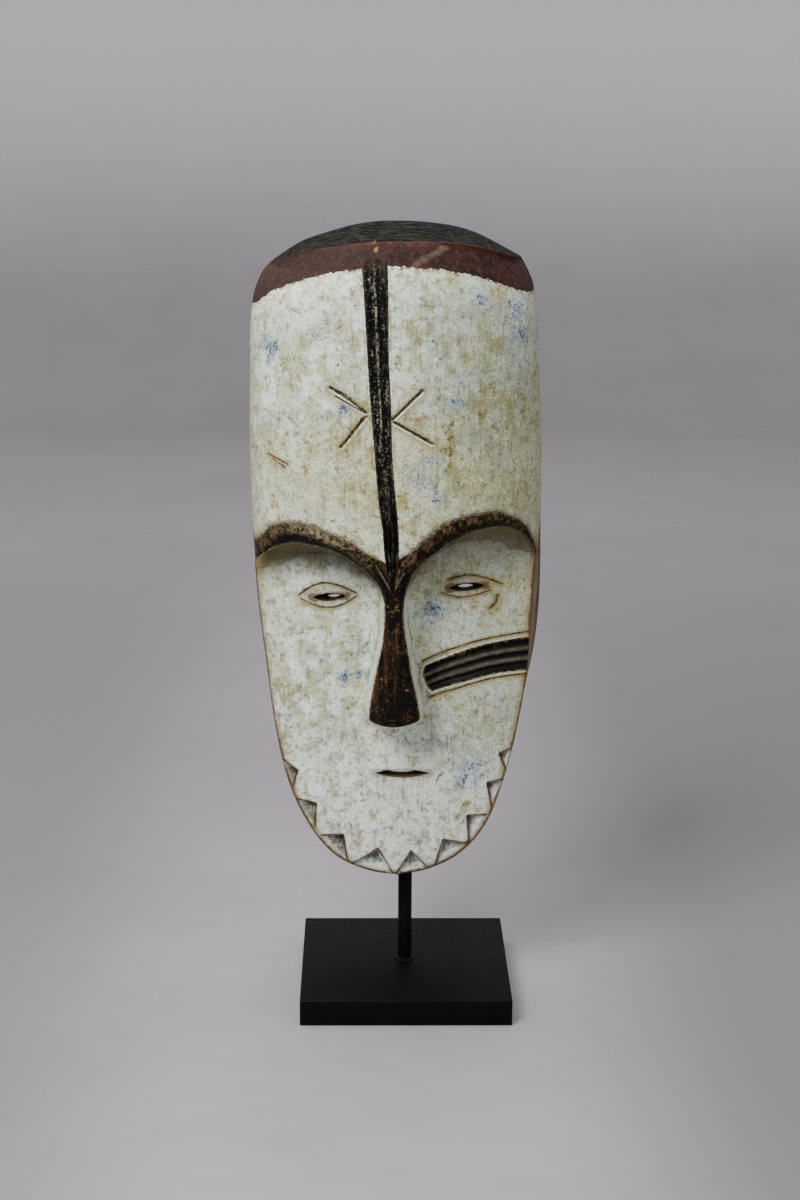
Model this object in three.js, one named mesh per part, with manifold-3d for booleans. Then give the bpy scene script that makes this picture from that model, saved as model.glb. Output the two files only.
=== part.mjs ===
// A carved and painted wooden face mask that stands on a rod and a square board.
// Millimetres, +Z up. The face looks along -Y, and its own left and right are named as a viewer sees them.
// The origin is the centre of the board's underside, where it meets the table.
import * as THREE from 'three';
import { mergeVertices } from 'three/addons/utils/BufferGeometryUtils.js';
import Module from 'manifold-3d';

const wasm = await Module();
wasm.setup();

// Stand
const BOARD_SIDE = 150;
const BOARD_THICK = 19;
const BOARD_BEVEL = 0.8;
const ROD_RADIUS = 5;
const ROD_IN_BOARD = 12;
const ROD_IN_CHIN = 24;
const FOOT_BEAD_RADIUS = 7.5;
const FOOT_BEAD_HEIGHT = 1.6;
const GAP = 0.3;

// Depths of the mask, along Y
const BACK_Y = 30;
const WIDEST_Y = 8;
const NOSE_ROOT_Y = -58;
const NOSE_TIP_Y = -61;
const FRONT_LIMIT_Y = -90;

// Heights of the mask, along Z
const CHIN_Z = 94.3;
const CREAM_TOP_Z = 530.5;
const CROWN_Z = 546.5;
const DOME_START_Z = 509;
const HOLLOW_FLOOR_Z = 128;
const TOP_Z = 553.3;

// Outline of the back rim, as [x, z]: the left side and the right side upwards, and the top from left to right
const LEFT_SIDE = [
  [-6, 94.3], [-27, 97.4], [-51, 108], [-70, 130], [-84.8, 162], [-94.5, 204], [-101.2, 255],
  [-106, 297], [-109, 345], [-110.5, 397], [-110, 450], [-108.5, 496], [-102, 517], [-94.5, 526],
];
const RIGHT_SIDE = [
  [-6, 94.3], [18, 98.5], [41, 109.7], [59.7, 131.5], [72.3, 164], [83.8, 208], [92.6, 250],
  [96, 296], [95.4, 345], [94.3, 400], [91.5, 455], [88, 503], [84, 518], [77.5, 530],
];
const TOP_ARCH = [[-94.5, 526], [-66, 543], [-30, 552.3], [7, 553.3], [42, 547.5], [77.5, 530]];
const SIDE_STEPS = 28;
const TOP_STEPS = 20;

// How the sides flare from the front to the back, and how the crown falls to the front
const FLARE_LEFT = 1.5;
const FLARE_RIGHT = 3;
const FLARE_CHEEK = 7;
const FLARE_RUN = 50;
const CHEEK_Z = 285;
const CHEEK_REACH = 65;
const CROWN_FALL = 0.11;
const CROWN_FROM_Z = 520;
const SIDES_END_Z = 530;

// The cross-section of the forehead is a superellipse, and its hairline is an arch
const SECTION_POWER = 2.4;
const ARCH_SAG = 22;
const ARCH_SPAN = 90;

// Middle line of the block and of the sunken face, and the face along its rim, as [z, y]
const BLOCK_MIDDLE = [[90, -55], [300, -57], [340, -60], [430, -63], [510, -61], [600, -61]];
const FACE_MIDDLE = [[90, -26], [115, -31], [140, -33], [175, -33], [215, -30], [250, -27], [360, -25]];
const FACE_RIM = [[90, -26], [140, -23], [180, -20], [230, -17], [360, -14]];
const CROWN_FRONT_Y = -42;
const RIM_ROUND = 2.5;
const BROW_ROUND = 1.2;

// The dip on each side of the nose
const DIP_DEPTH = 3.5;
const DIP_OUT = 26;
const DIP_REACH = 15;

// Nose, as heights and half-widths
const NOSE_X = -9.5;
const NOSE_ROOT_Z = 300;
const NOSE_BASE_Z = 221;
const NOSE_BASE_SAG = 5;
const NOSE_ROOT_HALF = 6.6;
const NOSE_BASE_HALF = 17.6;
const NOSE_SIDE = 4;
const NOSE_CROWNING = 1.5;
const NOSE_TAPER = 1.3;

// Brows: the lower and upper edge of the rounded strip, as [x, z] from the left rim to the right rim
const BROW_LOW = [
  [-108, 326], [-98.7, 335], [-84, 341.4], [-66, 341.4], [-50, 337.5], [-35, 328], [-23.5, 317.5], [-16.5, 301],
  [-3.3, 303], [-0.4, 315], [7.6, 329], [20, 339.5], [34, 347.6], [58, 353.7], [76.5, 346], [87, 327],
];
const BROW_HIGH = [
  [-106, 336], [-94.6, 352], [-76, 357.5], [-55, 352.5], [-38, 345.5], [-24, 333], [-11, 310],
  [-5, 333], [10.7, 348.7], [24, 359], [43, 364.4], [61, 365.3], [76, 356.6], [88, 335],
];
const BROW_ROLL = 5;
const BROW_LEAST = 6;
const LEDGE_NEAR = 3;
const LEDGE_FAR = 9;
const LEDGE_RUN = 80;

// Walls of the hollow
const FACE_WALL = 10.5;
const FOREHEAD_WALL = 14;
const SIDE_WALL = 13;
const CROWN_WALL = 17;
const BROW_SHELF_Z = [352, 404];
const HOLLOW_MIDDLE_Z = 330;
const HOLLOW_COLUMNS = 14;
const HOLLOW_ROWS = 20;

// Carved lines
const GROOVE_DEPTH = 1.7;
const GROOVE_FOOT = 0.06;
const LINE_WIDTH = 1.8;
const LINE_DEPTH = 1.1;
const NOTCH_DEEP = 4.5;
const NOTCH_SHALLOW = 0.8;
const NOTCH_OVERRUN = 1.45;

const PAINT = {
  cream: new THREE.MeshStandardMaterial({ color: 0xc8c6ae, roughness: 0.62, metalness: 0 }),
  blackRod: new THREE.MeshStandardMaterial({ color: 0x17171a, roughness: 0.42, metalness: 0.3 }),
  blackBoard: new THREE.MeshStandardMaterial({ color: 0x1b1b1e, roughness: 0.5, metalness: 0 }),
};

// Small helpers

const clamp01 = (t) => Math.min(1, Math.max(0, t));
const smooth = (a, b, v) => {
  const t = clamp01((v - a) / (b - a));
  return t * t * (3 - 2 * t);
};
const lerp = THREE.MathUtils.lerp;

function curveThrough(points) {
  return new THREE.SplineCurve(points.map(([x, z]) => new THREE.Vector2(x, z)));
}

// Reads the other coordinate of a sampled line: key 'x' looks up x and returns y, and the other way round
function lookUp(samples, key, value) {
  const other = key === 'x' ? 'y' : 'x';
  const after = samples.findIndex((p) => p[key] >= value);
  if (after === 0) return samples[0][other];
  if (after < 0) return samples[samples.length - 1][other];
  const a = samples[after - 1];
  const b = samples[after];
  return lerp(a[other], b[other], (value - a[key]) / Math.max(b[key] - a[key], 1e-6));
}

// Reads a short list of [z, y] pairs at a height
function alongZ(pairs, z) {
  const after = Math.max(1, pairs.findIndex(([height]) => height >= z));
  const [z1, y1] = pairs[after - 1];
  const [z2, y2] = pairs[after];
  return lerp(y1, y2, (z - z1) / (z2 - z1));
}

const leftSamples = curveThrough(LEFT_SIDE).getPoints(SIDE_STEPS);
const rightSamples = curveThrough(RIGHT_SIDE).getPoints(SIDE_STEPS);
const topSamples = curveThrough(TOP_ARCH).getPoints(TOP_STEPS);
const browLowSamples = BROW_LOW.map(([x, z]) => new THREE.Vector2(x, z));
const browHighSamples = BROW_HIGH.map(([x, z]) => new THREE.Vector2(x, z));

// The form of the mask

function flareAt(side, z) {
  if (side < 0) return FLARE_LEFT;
  return FLARE_RIGHT + FLARE_CHEEK * Math.exp(-(((z - CHEEK_Z) / CHEEK_REACH) ** 2));
}

// Half-width and centre of the mask at a height, at its widest depth
function spanAt(z) {
  const depth = (BACK_Y - WIDEST_Y) / FLARE_RUN;
  const left = lookUp(leftSamples, 'y', z) + flareAt(-1, z) * depth;
  const right = lookUp(rightSamples, 'y', z) - flareAt(1, z) * depth;
  return { centre: (left + right) / 2, half: (right - left) / 2 };
}

// Height measured along the arch of the crown, so that one value follows the whole hairline
const archHeight = (x, z) => z + ARCH_SAG * ((x - spanAt(CREAM_TOP_Z).centre) / ARCH_SPAN) ** 2;
const archedZ = (x, height) => height - ARCH_SAG * ((x - spanAt(CREAM_TOP_Z).centre) / ARCH_SPAN) ** 2;

function sectionBody(x, z, widen) {
  const { centre, half } = spanAt(z);
  const ratio = Math.abs((x - centre) / (half + widen));
  return Math.max(0, 1 - ratio ** SECTION_POWER) ** (1 / SECTION_POWER);
}

// Front of the uncut block: a broad forehead that rolls back to the crown
function hullY(x, z, widen = BROW_ROUND) {
  const roll = Math.max(0, (archHeight(x, z) - DOME_START_Z) / (CROWN_Z - DOME_START_Z)) ** 2;
  const middle = lerp(alongZ(BLOCK_MIDDLE, z), CROWN_FRONT_Y, roll);
  const side = lerp(WIDEST_Y, BACK_Y, roll);
  return lerp(side, middle, sectionBody(x, z, widen));
}

// The sunk face, fullest at the mouth, falling back to the rim, with a dip on each side of the nose
function faceY(x, z) {
  const { centre, half } = spanAt(z);
  const across = clamp01(Math.abs(x - centre) / Math.max(half, 1));
  const dipped = smooth(185, 235, z) * (1 - smooth(275, 325, z));
  const dip = DIP_DEPTH * dipped * Math.exp(-(((Math.abs(x - NOSE_X) - DIP_OUT) / DIP_REACH) ** 2));
  return lerp(alongZ(FACE_MIDDLE, z), alongZ(FACE_RIM, z), across ** 2.2) + dip;
}

// The face where it meets the block's side: above the jaw its rim is worn back to the side's own curve
function sunkenY(x, z) {
  const face = faceY(x, z);
  return face + smooth(170, 260, z) * Math.max(0, hullY(x, z, RIM_ROUND) - face);
}

const downNose = (z) => clamp01((NOSE_ROOT_Z - z) / (NOSE_ROOT_Z - NOSE_BASE_Z));
const noseHalf = (z) => lerp(NOSE_ROOT_HALF, NOSE_BASE_HALF, downNose(z) ** NOSE_TAPER);
const noseBaseZ = (x) => NOSE_BASE_Z - NOSE_BASE_SAG * (1 - ((x - NOSE_X) / NOSE_BASE_HALF) ** 2);

// The nose's front, which grows out of the brows above it
function ridgeY(x, z) {
  const round = NOSE_CROWNING * Math.min(1, Math.abs(x - NOSE_X) / noseHalf(z)) ** 2;
  const nose = lerp(NOSE_ROOT_Y, NOSE_TIP_Y, downNose(z)) + round;
  return lerp(nose, hullY(x, z), smooth(285, 325, z));
}

// Solids and cuts

function toSolid(geometry) {
  const bare = geometry.clone();
  bare.deleteAttribute('normal');
  bare.deleteAttribute('uv');
  const merged = mergeVertices(bare, 1e-4);
  const mesh = new wasm.Mesh({
    numProp: 3,
    vertProperties: new Float32Array(merged.attributes.position.array),
    triVerts: new Uint32Array(merged.index.array),
  });
  return new wasm.Manifold(mesh);
}

function toGeometry(solid) {
  const { vertProperties, triVerts, numProp } = solid.getMesh();
  const count = vertProperties.length / numProp;
  const positions = new Float32Array(count * 3);
  for (let i = 0; i < count; i += 1) {
    for (let k = 0; k < 3; k += 1) positions[i * 3 + k] = vertProperties[i * numProp + k];
  }
  const geometry = new THREE.BufferGeometry();
  geometry.setAttribute('position', new THREE.BufferAttribute(positions, 3));
  geometry.setIndex(new THREE.BufferAttribute(new Uint32Array(triVerts), 1));
  geometry.computeVertexNormals();
  return geometry;
}

function moveVertices(geometry, place) {
  const position = geometry.attributes.position;
  const point = new THREE.Vector3();
  for (let i = 0; i < position.count; i += 1) {
    point.fromBufferAttribute(position, i);
    place(point);
    position.setXYZ(i, point.x, point.y, point.z);
  }
  return geometry;
}

// A flat outline in X and Z, made into a block that reaches from yFront to yBack
function blockFromOutline(points, yFront, yBack) {
  const shape = new THREE.Shape(points);
  const geometry = new THREE.ExtrudeGeometry(shape, { depth: yBack - yFront, bevelEnabled: false });
  return geometry.rotateX(Math.PI / 2).translate(0, yBack, 0);
}

// A block whose front face is a grid of columns and rows, each vertex placed by a function
function griddedBlock(columns, rows, frontPoint, yBack) {
  const geometry = new THREE.BoxGeometry(2, 2, 2, columns, 1, rows);
  return moveVertices(geometry, (p) => {
    const column = Math.round(((p.x + 1) / 2) * columns);
    const row = Math.round(((p.z + 1) / 2) * rows);
    const front = frontPoint(column, row);
    p.set(front.x, p.y < 0 ? front.y : yBack, front.z);
  });
}

// Outer body

function outlinePoints() {
  const up = rightSamples.map((p) => p.clone());
  const across = topSamples.slice(1, -1).reverse().map((p) => p.clone());
  const down = leftSamples.slice(1).reverse().map((p) => p.clone());
  return [...up, ...across, ...down];
}

// The block's sides, flared to the back, under a crown that falls to the front
function sidesAndCrown() {
  const geometry = blockFromOutline(outlinePoints(), FRONT_LIMIT_Y, BACK_Y);
  const middle = spanAt(CREAM_TOP_Z).centre;
  return moveVertices(geometry, (p) => {
    const forward = BACK_Y - p.y;
    const across = (p.x - middle) / ARCH_SPAN;
    const crown = smooth(CROWN_FROM_Z, SIDES_END_Z, p.z) * Math.max(0, 1 - across * across);
    const side = Math.sign(across) * smooth(0, 0.5, Math.abs(across));
    const upright = 1 - smooth(SIDES_END_Z - 30, SIDES_END_Z, p.z);
    p.x -= side * flareAt(side, p.z) * (forward / FLARE_RUN) * upright;
    p.z -= crown * CROWN_FALL * forward;
  });
}

// Columns of the front: an outer one past the rim, the cheek, the nose with its two sides, and the same mirrored
const CHEEK_COLUMNS = 13;
const NOSE_COLUMNS = 4;
const RIM_MARGIN = 1.2;
const LEAST_REACH = 62;
const OUTER_COLUMN = 6;
const COLUMNS = 2 * (CHEEK_COLUMNS + 2) + NOSE_COLUMNS;
const LEFT_NOSE_EDGE = CHEEK_COLUMNS + 2;
const RIGHT_NOSE_EDGE = LEFT_NOSE_EDGE + NOSE_COLUMNS;

function columnX(column, z) {
  const half = noseHalf(z);
  if (column >= LEFT_NOSE_EDGE && column <= RIGHT_NOSE_EDGE) {
    return NOSE_X + half * ((2 * (column - LEFT_NOSE_EDGE)) / NOSE_COLUMNS - 1);
  }
  const side = column < LEFT_NOSE_EDGE ? -1 : 1;
  const steps = side < 0 ? LEFT_NOSE_EDGE - 1 - column : column - RIGHT_NOSE_EDGE - 1;
  const span = spanAt(Math.min(z, CREAM_TOP_Z));
  const margin = z < NOSE_ROOT_Z ? 3 * RIM_MARGIN : RIM_MARGIN;
  const rim = span.centre + side * Math.max(span.half + margin, LEAST_REACH);
  const foot = NOSE_X + side * (half + NOSE_SIDE);
  if (steps > CHEEK_COLUMNS) return rim + side * OUTER_COLUMN;
  return lerp(foot, rim, Math.sin((steps / CHEEK_COLUMNS) * (Math.PI / 2)));
}

// Edges that the rows of the front follow
const browLow = (x) => lookUp(browLowSamples, 'x', x);
const browHigh = (x) => Math.max(lookUp(browHighSamples, 'x', x), browLow(x) + BROW_LEAST);
const ledgeFoot = (x) => browLow(x) - lerp(LEDGE_NEAR, LEDGE_FAR, clamp01(Math.abs(x - NOSE_X) / LEDGE_RUN));
const noseFloor = (x) => noseBaseZ(THREE.MathUtils.clamp(x, NOSE_X - NOSE_BASE_HALF, NOSE_X + NOSE_BASE_HALF));

// Rows of the front, from below the chin to above the crown; each gives z at a given x
const CHIN_ROWS = [82, 94, 104, 116, 130, 146, 162, 179, 196, 209];
const NOSE_ROWS = 6;
const FOREHEAD_ROWS = 7;
const DOME_ROWS = [511, 518, 524.5, CREAM_TOP_Z, 536, 541.5, CROWN_Z + 0.5, 575];
const UNDERSIDE_SLOPE = 0.8;

const rowHeights = [
  ...CHIN_ROWS.map((z) => () => z),
  (x) => noseFloor(x) - UNDERSIDE_SLOPE,
  (x) => noseFloor(x) + UNDERSIDE_SLOPE,
];
const NOSE_UNDERSIDE_ROW = rowHeights.length - 1;
for (let i = 1; i <= NOSE_ROWS; i += 1) {
  rowHeights.push((x) => lerp(noseFloor(x) + UNDERSIDE_SLOPE, ledgeFoot(x), i / NOSE_ROWS));
}
rowHeights.push(browLow);
const BROW_LOW_ROW = rowHeights.length - 1;
rowHeights.push((x) => (browLow(x) + browHigh(x)) / 2, browHigh);
for (let i = 1; i <= FOREHEAD_ROWS; i += 1) {
  rowHeights.push((x) => lerp(browHigh(x), archedZ(x, DOME_ROWS[0]), i / FOREHEAD_ROWS));
}
for (const height of DOME_ROWS.slice(1)) rowHeights.push((x) => archedZ(x, height));
const ROWS = rowHeights.length - 1;
const CROSSING_TRIES = 6;

// Where a column and a row cross; each depends on the other, so the crossing is found by going back and forth
function frontPoint(column, row) {
  let z = rowHeights[row](NOSE_X);
  let x = columnX(column, z);
  for (let i = 0; i < CROSSING_TRIES; i += 1) {
    z = rowHeights[row](x);
    x = columnX(column, z);
  }
  const onNose = column >= LEFT_NOSE_EDGE && column <= RIGHT_NOSE_EDGE && row >= NOSE_UNDERSIDE_ROW;
  if (onNose) return { x, y: ridgeY(x, z), z };
  if (row < BROW_LOW_ROW) return { x, y: sunkenY(x, z), z };
  const rolledOver = [1, 0.3][row - BROW_LOW_ROW] ?? 0;
  return { x, y: hullY(x, z) + BROW_ROLL * rolledOver * sectionBody(x, z, 0), z };
}

// Hollow: the same form drawn in by the thickness of the walls, open at the back and closed over the chin

function innerY(x, z) {
  const face = faceY(x, z) + FACE_WALL;
  const { centre, half } = spanAt(z);
  const ratio = clamp01(Math.abs((x - centre) / (half - SIDE_WALL + 3)));
  const body = (1 - ratio ** SECTION_POWER) ** (1 / SECTION_POWER);
  const forehead = lerp(WIDEST_Y, alongZ(BLOCK_MIDDLE, z) + FOREHEAD_WALL, body);
  const roll = smooth(CREAM_TOP_Z - 60, CREAM_TOP_Z, archHeight(x, z));
  return lerp(face, lerp(forehead, forehead * 0.35, roll), smooth(...BROW_SHELF_Z, z));
}

function hollowSolid() {
  const { centre, half } = spanAt(HOLLOW_MIDDLE_Z);
  const aside = 1 - SIDE_WALL / half;
  const above = 1 - CROWN_WALL / (TOP_Z - HOLLOW_MIDDLE_Z);
  const below = (HOLLOW_MIDDLE_Z - HOLLOW_FLOOR_Z) / (HOLLOW_MIDDLE_Z - CHIN_Z);
  const points = outlinePoints().filter((_, i) => i % 2 === 0).map((p) => new THREE.Vector2(
    lerp(centre, p.x, aside),
    lerp(HOLLOW_MIDDLE_Z, p.y, p.y > HOLLOW_MIDDLE_Z ? above : below),
  ));
  const sides = toSolid(blockFromOutline(points, FRONT_LIMIT_Y, BACK_Y + 20));
  const front = griddedBlock(HOLLOW_COLUMNS, HOLLOW_ROWS, (column, row) => {
    const x = centre + (half + 10) * Math.sin(((2 * column) / HOLLOW_COLUMNS - 1) * (Math.PI / 2));
    const z = lerp(HOLLOW_FLOOR_Z - 18, TOP_Z + 7, row / HOLLOW_ROWS);
    return { x, y: innerY(x, z), z };
  }, BACK_Y + 30);
  return sides.intersect(toSolid(front));
}

// Carving

// Depth of the finished front, for placing the cuts
function carvedY(x, z) {
  const onNose = Math.abs(x - NOSE_X) < noseHalf(z) && z > noseFloor(x) && z < NOSE_ROOT_Z;
  if (onNose) return ridgeY(x, z);
  return z > browLow(x) ? hullY(x, z) : sunkenY(x, z);
}

// A V-shaped groove that follows the surface through the given [x, z] points
function groove(points, width, depth, steps) {
  const path = curveThrough(points).getPoints(steps);
  const route = new THREE.CatmullRomCurve3(path.map((p) => new THREE.Vector3(p.x, carvedY(p.x, p.y), p.y)));
  const length = path.length - 1;
  const geometry = new THREE.BoxGeometry(2, 2, 2, 1, 1, length);
  moveVertices(geometry, (p) => {
    const t = (p.z + 1) / 2;
    const at = route.getPoint(t);
    const along = route.getTangent(t);
    const across = new THREE.Vector3(0, 1, 0).cross(along).normalize();
    const taper = 0.35 + 0.65 * Math.sin(Math.PI * clamp01(t * 0.9 + 0.05)) ** 0.4;
    const high = p.y < 0;
    const offset = p.x * (high ? width : GROOVE_FOOT) * taper;
    p.copy(at).addScaledVector(across, offset);
    p.y += high ? -depth : depth * taper;
  });
  return toSolid(geometry);
}

// Parallel grooves that share a band between two edges
function grooveBand(edgeA, edgeB, count, steps) {
  const cuts = [];
  for (let i = 0; i < count; i += 1) {
    const t = (i + 0.5) / count;
    const points = edgeA.map(([x, z], k) => [lerp(x, edgeB[k][0], t), lerp(z, edgeB[k][1], t)]);
    const width = Math.hypot(edgeA[1][0] - edgeB[1][0], edgeA[1][1] - edgeB[1][1]) / count;
    cuts.push(groove(points, width * 0.86, GROOVE_DEPTH, steps));
  }
  return cuts;
}

// A straight knife cut with pointed ends
function knifeCut([x1, z1], [x2, z2]) {
  const length = Math.hypot(x2 - x1, z2 - z1);
  const x = (x1 + x2) / 2;
  const z = (z1 + z2) / 2;
  const geometry = new THREE.OctahedronGeometry(1);
  geometry.scale(length / 2, LINE_DEPTH * 1.5, LINE_WIDTH / 2);
  const slope = Math.atan2(carvedY(x2, z2) - carvedY(x1, z1), length);
  geometry.rotateZ(slope).rotateY(-Math.atan2(z2 - z1, x2 - x1));
  return toSolid(geometry.translate(x, carvedY(x, z) - 0.2, z));
}

// A lens-shaped slit that goes right through the wall
function slit([x1, z1], [x2, z2], height) {
  const shape = new THREE.Shape();
  const middle = [(x1 + x2) / 2, (z1 + z2) / 2];
  shape.moveTo(x1, z1);
  shape.quadraticCurveTo(middle[0], middle[1] - height, x2, z2);
  shape.quadraticCurveTo(middle[0], middle[1] + height, x1, z1);
  const points = shape.getPoints(8).slice(0, -1);
  return toSolid(blockFromOutline(points, FRONT_LIMIT_Y, 6));
}

// A three-cornered chip on the jaw, deepest at its inner corner, that runs out over the rim
function jawNotch([rimA, apex, rimB]) {
  const corner = new THREE.Vector2(...apex);
  const out = (p) => new THREE.Vector2(...p).sub(corner).multiplyScalar(NOTCH_OVERRUN).add(corner);
  const a = out(rimA);
  const b = out(rimB);
  const geometry = blockFromOutline([corner, b, a], FRONT_LIMIT_Y, 0);
  return toSolid(moveVertices(geometry, (p) => {
    if (p.y < -1) return;
    const inner = Math.hypot(p.x - corner.x, p.z - corner.y) < 0.5;
    const rimX = lerp(corner.x, p.x, 1 / NOTCH_OVERRUN);
    const rimZ = lerp(corner.y, p.z, 1 / NOTCH_OVERRUN);
    p.y = faceY(rimX, rimZ) + (inner ? NOTCH_DEEP : NOTCH_SHALLOW);
  }));
}

const FOREHEAD_LINE = {
  left: [[-32.3, 531], [-28.3, 470], [-23.1, 402], [-18.3, 358], [-15.5, 322]],
  right: [[-15, 531], [-14.1, 470], [-11.2, 402], [-7.3, 358], [-7.5, 322]],
};
const CHEEK_STRIPE = {
  top: [[9.5, 247], [23, 254.6], [45, 263.5], [67.5, 267.8], [91, 270]],
  bottom: [[14.5, 230], [28, 235.2], [48, 241.2], [71, 244.5], [91, 245]],
};
const FOREHEAD_CUTS = [
  [[-11.7, 430], [8.1, 449.5]], [[-11, 428.5], [14.6, 413.9]],
  [[-53, 450.8], [-29.9, 434.8]], [[-49.1, 445.1], [-31.2, 433.5]], [[-29.2, 432], [-45.4, 411.3]],
];
const EYES = [
  { slit: [[-64.5, 299.3], [-44.5, 299.8]], height: 4.4,
    upper: [[-75, 299.5], [-57, 308.7], [-36, 301.5]], lower: [[-73.5, 296.5], [-54, 291.3], [-35.2, 299]] },
  { slit: [[29.7, 306.5], [53.5, 307.6]], height: 4.8,
    upper: [[29, 311.5], [46, 314.5], [66, 307.5]], lower: [[24, 301.8], [40, 298.6], [58, 302.5]] },
];
const MOUTH = { ends: [[-21.5, 173.4], [15, 173.4]], height: 7 };
const JAW_NOTCHES = [
  [[-88.6, 180.4], [-76.9, 172.6], [-80.3, 160.5]], [[-78.5, 151.3], [-64.1, 149], [-65, 129.5]],
  [[-60, 124.3], [-45, 126.4], [-41.4, 104]], [[-38.6, 102.5], [-20, 116.6], [-9.2, 95.6]],
  [[-7, 95.6], [3.5, 114.3], [15.1, 101]], [[20.9, 102], [26.3, 122.9], [43.4, 118.4]],
  [[45, 120], [43.2, 140.4], [57, 139.8]], [[60.5, 146.5], [57.3, 163.8], [70, 165.9]],
  [[70.8, 172], [65.5, 185.2], [75, 188]],
];

function maskSolid() {
  const front = griddedBlock(COLUMNS, ROWS, frontPoint, BACK_Y + 30);
  const body = toSolid(front).intersect(toSolid(sidesAndCrown()));
  const socket = new THREE.CylinderGeometry(ROD_RADIUS + GAP, ROD_RADIUS + GAP, ROD_IN_CHIN + 20, 24);
  socket.rotateX(Math.PI / 2).translate(0, 0, CHIN_Z + ROD_IN_CHIN - (ROD_IN_CHIN + 20) / 2);
  const cuts = [
    hollowSolid(),
    toSolid(socket),
    ...grooveBand(FOREHEAD_LINE.left, FOREHEAD_LINE.right, 3, 12),
    ...grooveBand(CHEEK_STRIPE.top, CHEEK_STRIPE.bottom, 3, 8),
    ...FOREHEAD_CUTS.map(([from, to]) => knifeCut(from, to)),
    ...EYES.flatMap((eye) => [
      slit(...eye.slit, eye.height),
      groove(eye.upper, LINE_WIDTH, LINE_DEPTH, 7),
      groove(eye.lower, LINE_WIDTH, LINE_DEPTH, 7),
    ]),
    slit(...MOUTH.ends, MOUTH.height),
    ...JAW_NOTCHES.map(jawNotch),
  ];
  return cuts.reduce((solid, cut) => solid.subtract(cut), body);
}

// Stand

function rodGeometry() {
  const bottom = BOARD_THICK - ROD_IN_BOARD + GAP;
  const top = CHIN_Z + ROD_IN_CHIN - GAP;
  const bead = BOARD_THICK + GAP;
  const profile = [
    [0, bottom], [ROD_RADIUS, bottom], [ROD_RADIUS, bead], [FOOT_BEAD_RADIUS, bead],
    [FOOT_BEAD_RADIUS - 0.6, bead + FOOT_BEAD_HEIGHT * 0.6], [ROD_RADIUS, bead + FOOT_BEAD_HEIGHT],
    [ROD_RADIUS, top - 1], [ROD_RADIUS - 1, top], [0, top],
  ].map(([r, z]) => new THREE.Vector2(r, z));
  return new THREE.LatheGeometry(profile, 32).rotateX(Math.PI / 2);
}

function boardSolid() {
  const half = BOARD_SIDE / 2;
  const b = BOARD_BEVEL;
  const shape = new THREE.Shape([[-half, -half], [half, -half], [half, half], [-half, half]]
    .map(([x, y]) => new THREE.Vector2(x * (1 - b / half), y * (1 - b / half))));
  const geometry = new THREE.ExtrudeGeometry(shape, {
    depth: BOARD_THICK - 2 * b, bevelEnabled: true, bevelThickness: b, bevelSize: b, bevelSegments: 1, steps: 1,
  }).translate(0, 0, b);
  const hole = new THREE.CylinderGeometry(ROD_RADIUS + GAP, ROD_RADIUS + GAP, ROD_IN_BOARD * 2, 24);
  hole.rotateX(Math.PI / 2).translate(0, 0, BOARD_THICK);
  return toSolid(geometry).subtract(toSolid(hole));
}

function namedMesh(name, geometry, material) {
  const mesh = new THREE.Mesh(geometry, material);
  mesh.name = name;
  return mesh;
}

const standingMask = new THREE.Group();
standingMask.add(
  namedMesh('mask', toGeometry(maskSolid()), PAINT.cream),
  namedMesh('stand_rod', rodGeometry(), PAINT.blackRod),
  namedMesh('base_plate', toGeometry(boardSolid()), PAINT.blackBoard),
);

export default standingMask;
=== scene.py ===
"""Looks of a carved and painted wooden face mask that stands on a rod and a square board.

Sizes inside the functions are millimetres in the part's own frame: X to the viewer's right, Y to the
back of the mask, Z up, from the centre of the board's underside. Meshes are written in metres.
"""
import functools
import math

import bmesh
import bpy
import numpy as np
from bmesh.types import BMEdge, BMFace, BMVert
from bpy.props import FloatProperty, FloatVectorProperty, PointerProperty
from mathutils import Matrix, Vector, noise


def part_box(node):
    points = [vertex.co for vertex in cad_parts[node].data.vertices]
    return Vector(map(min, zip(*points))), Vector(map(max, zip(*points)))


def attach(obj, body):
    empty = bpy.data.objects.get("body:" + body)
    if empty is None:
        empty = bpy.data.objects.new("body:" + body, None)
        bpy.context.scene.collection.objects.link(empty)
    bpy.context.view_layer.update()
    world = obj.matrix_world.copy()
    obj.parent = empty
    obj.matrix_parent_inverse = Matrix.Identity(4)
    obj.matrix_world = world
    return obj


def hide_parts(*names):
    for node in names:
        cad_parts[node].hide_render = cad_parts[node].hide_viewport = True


bl_info = {
    "name": "Carved Face Mask on a Stand",
    "version": (1, 0, 0),
    "blender": (4, 5, 0),
    "location": "View3D > Sidebar > Mask",
    "description": "Builds a carved and painted wooden face mask, its rod, its board and a plain stage",
    "category": "Add Mesh",
}

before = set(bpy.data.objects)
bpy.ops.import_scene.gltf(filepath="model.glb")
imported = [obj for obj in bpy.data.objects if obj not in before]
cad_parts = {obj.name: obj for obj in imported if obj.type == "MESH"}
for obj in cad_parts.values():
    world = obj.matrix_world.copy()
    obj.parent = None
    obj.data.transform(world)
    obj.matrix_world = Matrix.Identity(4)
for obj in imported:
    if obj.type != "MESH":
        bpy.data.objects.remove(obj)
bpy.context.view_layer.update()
mask_low, mask_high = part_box("mask")
rod_low, rod_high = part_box("stand_rod")
board_low, board_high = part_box("base_plate")

MM = 0.001

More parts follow.
